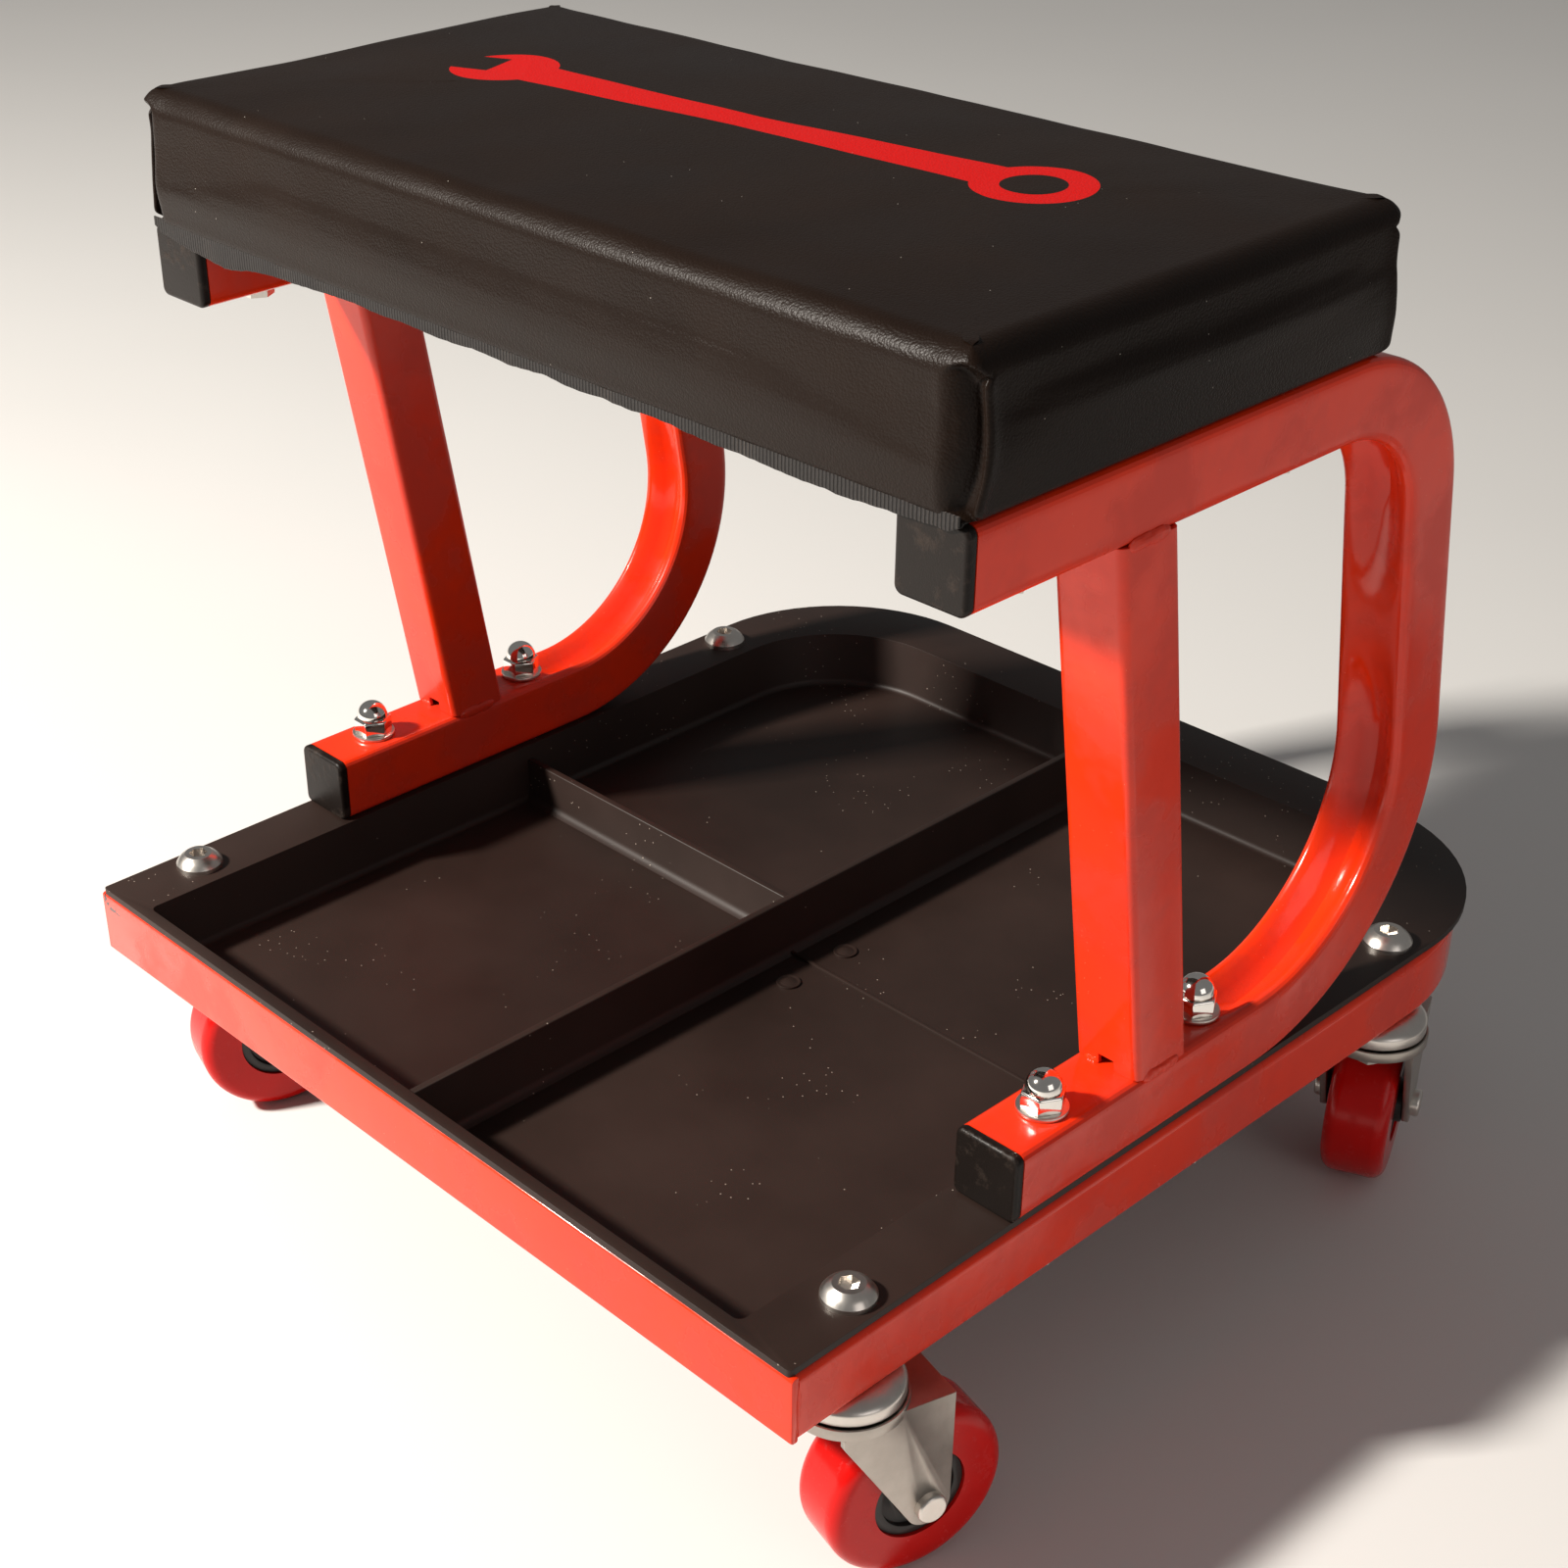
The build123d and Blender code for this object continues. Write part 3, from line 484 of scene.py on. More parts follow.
for side, sign in (("left", -1), ("right", 1)):
    side_frame(side)
    softened(f"strut_{side}", 0.0004, 1, red_paint, "frame", "red_paint")
    low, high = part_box(f"strut_{side}")
    strut_depth = tube / math.cos(lean)
    outward = Vector((sign, 0, 0))
    for face, shade in (("outer", 1), ("inner", -1)):
        wall = (low.x + high.x) / 2 + sign * shade * (tube / 2 - 0.0003)
        foot_bead = Vector((wall, high.y - strut_depth, low.z))
        head_bead = Vector((wall, low.y, high.z))
        for level, bead in (("foot", foot_bead), ("head", head_bead)):
            weld_bead(
                f"strut_weld_{side}_{face}_{level}",
                bead + Vector((0, 0.003, 0)),
                bead + Vector((0, strut_depth - 0.005, 0.0004)),
                outward,
                0.0026,
            )
    foot = Vector((low.x + 0.004, high.y - strut_depth, low.z + 0.0004))
    weld_bead(
        f"strut_weld_{side}_front",
        foot,
        foot + Vector((tube * 0.22, 0, 0)),
        Vector((0, 1, 0)),
        0.0015,
    )

# --- Tool tray ------------------------------------------------------------------------------------
# The tray is one injection moulding in black polypropylene: a satin skin, fine scratches from
# spanners on its floor, and grit in the corners. Its flange lies on the base tube.


def moulding(start):
    cloud = start.noise(9, 4)
    scratch_one = start.noise(60, 6, start.stretched((1, 0.12, 1), (0, 0, 0.7)), 0.75)
    scratch_two = start.noise(75, 6, start.stretched((0.10, 1, 1), (0, 0, 0.35)), 0.75)
    patch = start.noise(13, 3).ramp((0.5, 0.0), (0.66, 1.0))
    scratches = ((scratch_one > 0.70) + (scratch_two > 0.70)) * patch
    grit = (start.cells(330) < 0.085) * (start.noise(24, 5) > 0.56)
    grain = start.noise(2600, 2)
    dull = cloud.ramp((0.35, 0.0), (0.7, 1.0))
    base = dull.mix((0.0150, 0.0082, 0.0062, 1), (0.0290, 0.0160, 0.0125, 1))
    worn = (scratches * 0.16).mix(base, (0.12, 0.10, 0.09, 1))
    return {
        "Base Color": grit.mix(worn, (0.30, 0.25, 0.21, 1)),
        "Roughness": 0.38 + 0.12 * dull + 0.10 * grain,
        "Specular IOR Level": 0.32,
        "Normal": (grain * 0.4 - scratches * 0.4 + cloud * 2.0).bump(0.00012, 0.7),
    }


tray_plastic = finish("moulding", moulding)


def pick(obj, kind, test):
    """Selects in edit mode the vertices, edges or faces of obj whose middle passes test."""
    bpy.ops.object.mode_set(mode="EDIT")
    bpy.ops.mesh.select_mode(type=kind)
    bpy.ops.mesh.select_all(action="DESELECT")
    bpy.ops.object.mode_set(mode="OBJECT")
    mesh = obj.data
    for part in {"VERT": mesh.vertices, "EDGE": mesh.edges, "FACE": mesh.polygons}[kind]:
        corners = [part.co] if kind == "VERT" else [mesh.vertices[i].co for i in part.vertices]
        part.select = test(sum(corners, Vector()) / len(corners))
    bpy.ops.object.mode_set(mode="EDIT")


def slab(name, low, high):
    """A box between two corners, in edit mode with all of it selected."""
    bpy.ops.object.select_all(action="DESELECT")
    bpy.ops.mesh.primitive_cube_add(size=1, location=(low + high) / 2, scale=high - low)
    box = bpy.context.object
    box.name = name
    bpy.ops.object.transform_apply(location=True, rotation=True, scale=True)
    bpy.ops.object.mode_set(mode="EDIT")
    return box


tray_low, tray_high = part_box("tool_tray")
tray_skin = 0.00155
flange = 0.0025
tray_depth = 0.0235
sink = tray_depth * math.tan(math.radians(4))
well_reach = 0.1569
well_front, well_back = tray_low.y + 0.0046, tray_high.y - 0.0279
well_middle = (well_front + well_back) / 2
well_half = (well_back - well_front) / 2
floor_z = tray_high.z - tray_depth
rear_round, front_round = 0.0530, 0.0044
floor_round = 0.0024
rim_rear_round, rim_front_round = 0.070, 0.0015

bpy.ops.object.select_all(action="DESELECT")
bpy.ops.mesh.primitive_plane_add(size=2, location=(0, well_middle, floor_z))
tray = bpy.context.object
tray.name = "tray_moulding"
tray.scale = (well_reach - sink, well_half - sink, 1)
bpy.ops.object.transform_apply(location=True, rotation=True, scale=True)
pick(tray, "VERT", lambda spot: spot.y > well_middle)
bpy.ops.mesh.bevel(offset=rear_round - sink, segments=16, affect="VERTICES")
pick(tray, "VERT", lambda spot: spot.y < well_front + sink + 0.001)
bpy.ops.mesh.bevel(offset=front_round - sink, segments=5, affect="VERTICES")
bpy.ops.mesh.select_mode(type="EDGE")
bpy.ops.mesh.select_all(action="SELECT")
bpy.ops.mesh.extrude_edges_move(TRANSFORM_OT_translate={"value": (0, 0, tray_depth)})
bpy.ops.transform.resize(
    value=(well_reach / (well_reach - sink), well_half / (well_half - sink), 1),
    center_override=(0, well_middle, tray_high.z),
)
pick(tray, "EDGE", lambda spot: spot.z < floor_z + 1e-5)
bpy.ops.mesh.bevel(offset=floor_round, segments=4, affect="EDGES")
bpy.ops.object.mode_set(mode="OBJECT")

rim_middle = (tray_low.y + tray_high.y) / 2
bpy.ops.object.select_all(action="DESELECT")
bpy.ops.mesh.primitive_plane_add(size=2, location=(0, rim_middle, tray_high.z))
rim = bpy.context.object
rim.scale = (tray_high.x, (tray_high.y - tray_low.y) / 2, 1)
bpy.ops.object.transform_apply(location=True, rotation=True, scale=True)
pick(rim, "VERT", lambda spot: spot.y > rim_middle)
bpy.ops.mesh.bevel(offset=rim_rear_round, segments=16, affect="VERTICES")
pick(rim, "VERT", lambda spot: spot.y < rim_middle - 0.1)
bpy.ops.mesh.bevel(offset=rim_front_round, segments=5, affect="VERTICES")
bpy.ops.mesh.select_all(action="SELECT")
bpy.ops.mesh.delete(type="ONLY_FACE")
bpy.ops.object.mode_set(mode="OBJECT")
bpy.ops.object.select_all(action="DESELECT")
rim.select_set(True)
tray.select_set(True)
bpy.context.view_layer.objects.active = tray
bpy.ops.object.join()
pick(tray, "EDGE", lambda spot: False)
bpy.ops.mesh.select_non_manifold(extend=False)
bpy.ops.mesh.fill()
pick(tray, "EDGE", lambda spot: False)
bpy.ops.mesh.select_non_manifold(extend=False)
bpy.ops.mesh.extrude_edges_move(TRANSFORM_OT_translate={"value": (0, 0, -flange)})
bpy.ops.mesh.select_all(action="SELECT")
bpy.ops.mesh.normals_make_consistent(inside=False)
bpy.ops.object.mode_set(mode="OBJECT")
floor_faces = [f for f in tray.data.polygons if abs(f.center.z - floor_z) < 1e-4]
if max(floor_faces, key=lambda face: face.area).normal.z < 0:
    bpy.ops.object.mode_set(mode="EDIT")
    bpy.ops.mesh.select_all(action="SELECT")
    bpy.ops.mesh.flip_normals()
    bpy.ops.object.mode_set(mode="OBJECT")
soften(tray, 0.0007, 3)
skin = tray.modifiers.new("skin", "SOLIDIFY")
skin.thickness = tray_skin
skin.offset = -1
skin.use_even_offset = True
shape_of(tray)

long_height = tray_depth - 0.001
low_height = tray_depth - 0.006
cross_y = tray_low.y + 0.1877
rib_y = tray_low.y + 0.1802


def divider(name, middle, length_way, half_length, height):
    """A wall standing on the tray floor, with a fillet at its foot and a rounded top."""
    across = Vector((length_way.y, length_way.x, 0))
    flare = ((0, 0.0052), (0.0006, 0.0040), (0.0016, 0.0029), (0.003, 0.0022))
    bpy.ops.object.select_all(action="DESELECT")
    bpy.ops.mesh.primitive_plane_add(size=2, location=middle)
    wall = bpy.context.object
    wall.name = name
    wall.scale = length_way * half_length + across * flare[0][1] + Vector((0, 0, 1))
    bpy.ops.object.transform_apply(location=True, rotation=True, scale=True)
    bpy.ops.object.mode_set(mode="EDIT")
    bpy.ops.mesh.select_all(action="SELECT")
    steps = [*flare, (height, 0.0015)]
    for (below, wide), (above, narrow) in zip(steps, steps[1:]):
        bpy.ops.mesh.extrude_region_move(
            TRANSFORM_OT_translate={"value": (0, 0, above - below)}
        )
        reach = half_length + sink * above / tray_depth
        before = half_length + sink * below / tray_depth
        bpy.ops.transform.resize(
            value=length_way * (reach / before) + across * (narrow / wide) + Vector((0, 0, 1)),
            center_override=middle + Vector((0, 0, above)),
        )
    bpy.ops.mesh.select_all(action="SELECT")
    bpy.ops.mesh.normals_make_consistent(inside=False)
    pick(wall, "EDGE", lambda spot: spot.z > middle.z + height - 1e-5)
    bpy.ops.mesh.bevel(offset=0.0006, segments=3, affect="EDGES")
    bpy.ops.object.mode_set(mode="OBJECT")
    return shape_of(wall)


long_divider = divider(
    "long_divider",
    Vector((0, well_middle, floor_z)),
    Vector((0, 1, 0)),
    well_half - sink,
    long_height,
)
wall_half = 0.0015
cross_half = (well_reach - sink - wall_half) / 2
cross_divider = divider(
    "cross_divider",
    Vector((-cross_half - wall_half, cross_y, floor_z)),
    Vector((1, 0, 0)),
    cross_half,
    low_height,
)
rib = slab(
    "floor_rib",
    Vector((0.002, rib_y - 0.00075, floor_z - 0.0005)),
    Vector((well_reach - sink, rib_y + 0.00075, floor_z + 0.001)),
)
soften(rib, 0.0004, 2)
pieces = [tray, long_divider, cross_divider, shape_of(rib)]
for gate, shift in (("gate_mark_front", -0.015), ("gate_mark_back", 0.015)):
    bpy.ops.object.select_all(action="DESELECT")
    bpy.ops.mesh.primitive_cylinder_add(
        vertices=32,
        radius=0.0045,
        depth=0.0013,
        location=(0.017, rib_y + shift, floor_z + 0.00015),
    )
    mark = bpy.context.object
    mark.name = gate
    bpy.ops.object.transform_apply(location=True, rotation=True, scale=True)
    pick(mark, "FACE", lambda spot: spot.z > floor_z + 0.0007)
    bpy.ops.mesh.inset(thickness=0.0012, depth=-0.0004)
    bpy.ops.mesh.inset(thickness=0.0018, depth=0.0007)
    bpy.ops.object.mode_set(mode="OBJECT")
    soften(mark, 0.0003, 2)
    pieces.append(shape_of(mark))
bpy.ops.object.select_all(action="DESELECT")
for piece in pieces:
    piece.select_set(True)
bpy.context.view_layer.objects.active = tray
bpy.ops.object.join()
shape_of(tray, tray_plastic)
hand_in(tray, "frame", "tray_plastic", "tool_tray")

# --- End caps -------------------------------------------------------------------------------------
# Square plugs moulded in black polyethylene, pushed into the open tube ends. Their faces are
# scuffed grey at the middle and shine along the rounded edges.


def scuffed_cap(start):
    scuff = start.noise(140, 5, roughness=0.7).ramp((0.52, 0.0), (0.7, 1.0))
    grain = start.noise(1800, 2)
    return {
        "Base Color": (scuff * 0.45).mix((0.0065, 0.0040, 0.0030, 1), (0.06, 0.042, 0.033, 1)),
        "Specular IOR Level": 0.2,
        "Roughness": 0.36 + 0.2 * scuff + 0.08 * grain,
        "Normal": (grain + scuff * 2.0).bump(0.0001, 0.6),
    }


cap_plastic = finish("scuffed_cap", scuffed_cap)
for level in ("lower", "upper"):
    for side in ("left", "right"):
        softened(f"{level}_end_cap_{side}", 0.0007, 2, cap_plastic, "frame", "cap_plastic")

# --- Fasteners ------------------------------------------------------------------------------------
# Bolts, washers, lock nuts and staples are steel with bright zinc plate. The acorn nuts are
# chromed, each turned from a hexagon with a narrow neck and a tall dome.


def zinc_plate(start):
    cloud = start.noise(120, 4)
    brushed = start.noise(900, 3, start.stretched((1, 1, 0.08)))
    return {
        "Base Color": cloud.mix((0.60, 0.55, 0.50, 1), (0.80, 0.77, 0.73, 1)),
        "Metallic": 1.0,
        "Roughness": 0.2 + 0.16 * cloud + 0.06 * brushed,
        "Normal": (brushed * 0.5 + cloud).bump(0.00006, 0.5),
    }


def chrome_plate(start):
    cloud = start.noise(300, 3)
    return {
        "Base Color": cloud.mix((0.80, 0.76, 0.71, 1), (0.92, 0.90, 0.87, 1)),
        "Metallic": 1.0,
        "Roughness": 0.06 + 0.07 * cloud,
        "Normal": cloud.bump(0.00002, 0.3),
    }


zinc = finish("zinc_plate", zinc_plate)
chrome = finish("chrome_plate", chrome_plate)
for fastener in ("c_frame_bolts", "seat_bolts", "seat_t_nuts", "caster_lock_nuts"):
    paint_nodes(zinc, fastener)
paint_nodes(zinc, "lining_staples", "caster_bolts")
softened("c_frame_washers", 0.0004, 2, zinc, "frame", "zinc")

nuts_low, nuts_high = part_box("acorn_nuts")
flats = 0.013
hex_corner = flats / math.sqrt(3)
hex_height = 0.0056
dome_radius = 0.0060
neck_height = 0.0012
nut_places = [
    Vector((x, y, nuts_low.z))
    for x in (nuts_low.x + hex_corner, nuts_high.x - hex_corner)
    for y in (nuts_low.y + flats / 2, nuts_high.y - flats / 2)
]
bpy.ops.object.select_all(action="DESELECT")
bpy.ops.mesh.primitive_cylinder_add(
    vertices=6,
    radius=hex_corner,
    depth=hex_height,
    location=(0, 0, hex_height / 2),
    rotation=(0, 0, math.pi / 6),
)
nut = bpy.context.object
nut.name = "acorn_nuts_turned"
bpy.ops.object.transform_apply(location=True, rotation=True, scale=True)
pick(nut, "FACE", lambda spot: spot.z > hex_height - 1e-5)
bpy.ops.mesh.inset(thickness=0.0007, depth=0.0006)
bpy.ops.mesh.inset(thickness=0.0004, depth=0)
bpy.ops.object.mode_set(mode="OBJECT")
soften(nut, 0.0005, 3)
shape_of(nut)
bpy.ops.object.select_all(action="DESELECT")
bpy.ops.mesh.primitive_uv_sphere_add(
    segments=32, ring_count=16, radius=dome_radius, location=(0, 0, hex_height + neck_height)
)
dome = bpy.context.object
dome.scale = (1, 1, 0.97)
bpy.ops.object.transform_apply(location=True, rotation=True, scale=True)
pick(dome, "FACE", lambda spot: True)
bpy.ops.mesh.bisect(
    plane_co=(0, 0, hex_height + 0.0013), plane_no=(0, 0, 1), clear_inner=True, use_fill=True
)
pick(dome, "FACE", lambda spot: spot.z < hex_height + 0.00135)
bpy.ops.mesh.inset(thickness=0.0007, depth=0)
bpy.ops.mesh.extrude_region_move(TRANSFORM_OT_translate={"value": (0, 0, -neck_height)})
bpy.ops.object.mode_set(mode="OBJECT")
shape_of(dome)
nut.select_set(True)
dome.select_set(True)
bpy.context.view_layer.objects.active = nut
bpy.ops.object.join()
one_nut = nut.data.copy()
nut.data.transform(Matrix.Translation(nut_places[0]))
copies = [nut]
for place in nut_places[1:]:
    twin = bpy.data.objects.new("acorn_nut", one_nut.copy())
    twin.data.transform(Matrix.Translation(place))
    bpy.context.collection.objects.link(twin)
    copies.append(twin)
for twin in copies:
    twin.select_set(True)
bpy.context.view_layer.objects.active = nut
bpy.ops.object.join()
shape_of(nut, chrome)
hand_in(nut, "frame", "chrome", "acorn_nuts")

# --- Casters --------------------------------------------------------------------------------------
# Each caster is a pressed and zinc-plated fork on a ball race, with a red polyurethane tread cast
# on a black nylon centre.


def polyurethane(start):
    cloud = start.noise(60, 4)
    scuff = start.noise(220, 6, roughness=0.75).ramp((0.58, 0.0), (0.66, 1.0))
    return {
        "Base Color": cloud.mix((0.46, 0.003, 0.002, 1), (0.62, 0.005, 0.003, 1)),
        "Roughness": 0.16 + 0.12 * cloud + 0.2 * scuff,
        "Coat Weight": 0.05,
        "Specular IOR Level": 0.22,
        "Normal": (cloud + scuff * 0.2).bump(0.0002, 0.5),
    }


def pressed_zinc(start):
    """Zinc passivated a warm grey, with draw marks down the pressing."""
    cloud = start.noise(55, 5, roughness=0.65)
    drawn = start.noise(500, 3, start.stretched((1, 1, 0.06)))
    return {
        "Base Color": cloud.mix((0.30, 0.265, 0.235, 1), (0.60, 0.56, 0.51, 1)),
        "Metallic": 1.0,
        "Roughness": 0.24 + 0.16 * cloud + 0.08 * drawn,
        "Normal": (drawn * 0.6 + cloud).bump(0.00008, 0.6),
    }


def nylon(start):
    grain = start.noise(1500, 2)
    cloud = start.noise(70, 3)
    return {
        "Base Color": cloud.mix((0.008, 0.0065, 0.006, 1), (0.016, 0.012, 0.011, 1)),
        "Roughness": 0.42 + 0.12 * grain,
        "Normal": grain.bump(0.00008, 0.5),
    }


tread_red = finish("polyurethane", polyurethane)
fork_zinc = finish("pressed_zinc", pressed_zinc)
hub_black = finish("nylon", nylon)
for end in ("front", "rear"):
    for side in ("left", "right"):
        caster = f"caster_{end}_{side}"
        for part in ("king_pin", "balls", "axle", "sleeve"):
            paint_nodes(zinc, f"{caster}_{part}")
        softened(f"{caster}_cup", 0.0007, 3, zinc, "frame", "zinc")
        softened(f"{caster}_fork", 0.0006, 2, fork_zinc, f"swivel_{end}_{side}", "zinc")
        softened(f"{caster}_hub", 0.0005, 2, hub_black, f"wheel_{end}_{side}", "hub_plastic")
        paint_nodes(tread_red, f"{caster}_tread")

# --- Seat inside ----------------------------------------------------------------------------------
# Under the cover is a sanded plywood board. Its outline is drawn in a little, because the cover is
# tucked in at the corners.


def plywood(start):
    rings = start.noise(30, 6, start.stretched((0.15, 1, 1)))
    return {
        "Base Color": rings.mix((0.42, 0.27, 0.14, 1), (0.60, 0.43, 0.26, 1)),
        "Roughness": 0.55 + 0.2 * rings,
        "Normal": rings.bump(0.0002, 0.5),
    }


board = softened("seat_board", 0.0005, 1, finish("plywood", plywood), "frame", "plywood")
board_low, board_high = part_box("seat_board")
trim = 0.0036
end_margin, side_margin = 0.011, 0.0105
for vertex in board.data.vertices:
    spot = vertex.co
    if spot.x < board_low.x + end_margin or spot.x > board_high.x - end_margin:
        spot.x -= math.copysign(trim, spot.x)
    if spot.y < board_low.y + side_margin:
        spot.y += trim
    elif spot.y > board_high.y - side_margin:
        spot.y -= trim

# --- Seat cushion ---------------------------------------------------------------------------------
# A foam block wrapped in one sheet of black, pebble-grained vinyl with a red spanner printed on it.
# The sheet is pulled down over the edges and folded, so at each corner the end panel laps over a
# tucked-in pleat.


def spanner_mark(start):
    """A red double-ended spanner, 1 inside its outline and 0 outside."""
    tilt = 0.076
    reach, head = 0.108, 0.0185
    x = start.along("X") + 0.004
    y = start.along("Y") + 0.035
    run = x * math.cos(tilt) + y * math.sin(tilt)
    rise = y * math.cos(tilt) - x * math.sin(tilt)

    def disc(where, radius):
        across = run - where
        return (across * across + rise * rise).root() < radius

    shank = (run.size() < reach) * (rise.size() < 0.0062 + 0.035 * run.size())
    ring_hole = disc(reach, 0.0098)
    jaw_run = run + reach + 0.010
    lean_of_jaw = math.radians(15)
    slot_run = jaw_run * math.cos(lean_of_jaw) + rise * math.sin(lean_of_jaw)
    slot_rise = rise * math.cos(lean_of_jaw) - jaw_run * math.sin(lean_of_jaw)
    jaw = (slot_run < 0.006) * (slot_rise.size() < 0.0085)
    solid = (shank + disc(-reach, head) + disc(reach, head)).at_most(1.0)
    return solid * (1 - ring_hole) * (1 - jaw)


def vinyl(start):
    pebble = start.cells(1300)
    pores = start.noise(2400, 2)
    cloud = start.noise(14, 4)
    grit = (start.cells(170) < 0.026) * (start.noise(30) > 0.52)
    rub = cloud.ramp((0.4, 0.0), (0.7, 1.0))
    base = rub.mix((0.0080, 0.0040, 0.0024, 1), (0.0120, 0.0062, 0.0038, 1))
    printed = spanner_mark(start).mix(base, (0.52, 0.003, 0.002, 1))
    return {
        "Base Color": grit.mix(printed, (0.42, 0.38, 0.34, 1)),
        "Roughness": 0.31 + 0.07 * rub + 0.10 * pores,
        "Specular IOR Level": 0.13,
        "Normal": (pebble * -0.8 + pores * 0.5).bump(0.00016, 0.65),
    }


black_vinyl = finish("vinyl", vinyl)
seat_low, seat_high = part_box("seat_cover")
seat_middle = (seat_low + seat_high) / 2
half_x = (seat_high.x - seat_low.x) / 2
half_y = (seat_high.y - seat_low.y) / 2
seat_height = seat_high.z - seat_low.z
edge_round = 0.009
board_top = seat_low.z + 0.011


def smooth(value):
    """0 below 0, 1 above 1, and an even slope between."""
    value = max(0.0, min(1.0, value))
    return value * value * (3 - 2 * value)


# The foam swells under its skin: a block with its foot held is blown up a little as cloth
bpy.ops.object.select_all(action="DESELECT")
bpy.ops.mesh.primitive_cube_add(
    size=1,
    location=seat_middle,
    scale=(2 * half_x, 2 * half_y, seat_height),
)
foam = bpy.context.object
foam.name = "foam_under_skin"
bpy.ops.object.transform_apply(location=True, rotation=True, scale=True)
bpy.ops.object.mode_set(mode="EDIT")
bpy.ops.mesh.select_all(action="SELECT")
bpy.ops.mesh.bevel(offset=edge_round, segments=3, affect="EDGES")
bpy.ops.object.mode_set(mode="OBJECT")
foam.data.remesh_voxel_size = 0.006
bpy.ops.object.voxel_remesh()
relaxed = [vertex.co.copy() for vertex in foam.data.vertices]
held = foam.vertex_groups.new(name="held")
for vertex in foam.data.vertices:
    held.add([vertex.index], 1 - smooth((vertex.co.z - board_top + 0.008) / 0.022), "REPLACE")
cloth = foam.modifiers.new("skin", "CLOTH")
cloth.settings.quality = 6
cloth.settings.mass = 0.3
cloth.settings.tension_stiffness = 40
cloth.settings.compression_stiffness = 40
cloth.settings.bending_stiffness = 2
cloth.settings.use_pressure = True
cloth.settings.uniform_pressure_force = 4
cloth.settings.vertex_group_mass = "held"
cloth.settings.effector_weights.gravity = 0
for step in range(1, 21):
    bpy.context.scene.frame_set(step)
blown = foam.evaluated_get(bpy.context.evaluated_depsgraph_get())
swollen = [vertex.co.copy() for vertex in blown.data.vertices]
bpy.context.scene.frame_set(1)
finder = kdtree.KDTree(len(relaxed))
for index, spot in enumerate(relaxed):
    finder.insert(spot, index)
finder.balance()
swell_cap = 0.0014


def swell(spot):
    """How far the blown-up foam moves the skin at spot."""
    near = finder.find_n(spot, 8)
    weights = [1 / (0.002 + distance) for _, _, distance in near]
    total = Vector()
    for (_, index, _), weight in zip(near, weights):
        total += (swollen[index] - relaxed[index]) * weight
    move = total / sum(weights)
    return move * min(1, swell_cap / move.length) if move.length else move


def fold_line(height):
    """How far back from the corner the lapped edge runs, at a height above the seat's foot."""
    share = min(1, max(0, height / seat_height))
    return 0.0026 + 0.0034 * math.sin(math.pi * (0.06 + 0.80 * share))


# Columns of the lapped edge, as (distance behind its line, how deep in the wall)
lap_columns = (
    (0.0019, 0.0036),
    (0.0018, 0.0014),
    (0.0004, 0.0014),
    (-0.0003, 0.0010),
    (-0.0005, 0.0004),
    (-0.0001, -0.0003),
    (0.0008, -0.0007),
    (0.0020, -0.0005),
    (0.0042, 0.0),
)
tuck_round, lid_round, tuck = 0.0120, 0.0055, 0.0026
front_columns = [half_x - tuck_round - step for step in (0.0, 0.002, 0.0045, 0.008, 0.013, 0.02)]
front_columns += [front_columns[-1] * (1 - i / 19) for i in range(1, 20)]
tuck_columns = [i / 13 for i in range(1, 14)]
end_columns = (0.0135, 0.018, 0.024, 0.032, 0.041, 0.051, 0.061, 0.072, 0.082, half_y)

# Rows, as (how far in from the side, height), from the middle of the underside to the crown
foot = 0.0022
wall_rows = 22
edge_rows = 14
rows = [(half_y, 0.0)] + [(foot + step, 0.0) for step in (0.06, 0.03, 0.012, 0.004, 0.0)]
rows += [(foot * (1 - math.sin(a)) + 0.0008, foot * (1 - math.cos(a))) for a in (0.5, 1.0, 1.5)]
wall_top = seat_height - edge_round
crown_drop = 0.0012
for i in range(1, wall_rows + 1):
    share = i / wall_rows
    rows.append((0.0008 * (1 - smooth(share * 3)), foot + (wall_top - foot) * share))
for i in range(1, edge_rows + 1):
    a = math.pi / 2 * i / edge_rows
    rise = wall_top + (edge_round - crown_drop) * math.sin(a)
    rows.append((edge_round * (1 - math.cos(a)), rise))
rows += [
    (edge_round + step, seat_height - crown_drop)
    for step in (0.003, 0.007, 0.013, 0.021, 0.032, 0.045, 0.060)
]
rows.append((half_y, seat_height - crown_drop))


def lid_outline(run, radius):
    """A point and outward way on the cover's plain corner, run past the start of its pleat."""
    straight = tuck_round - radius
    turn = (run - straight) / radius
    if turn < 0:
        return Vector((half_x - tuck_round + run, -half_y, 0)), Vector((0, -1, 0))
    if turn < math.pi / 2:
        way = Vector((math.sin(turn), -math.cos(turn), 0))
        return Vector((half_x - radius, radius - half_y, 0)) + way * radius, way
    past = run - straight - math.pi / 2 * radius
    return Vector((half_x, radius - half_y + past, 0)), Vector((1, 0, 0))


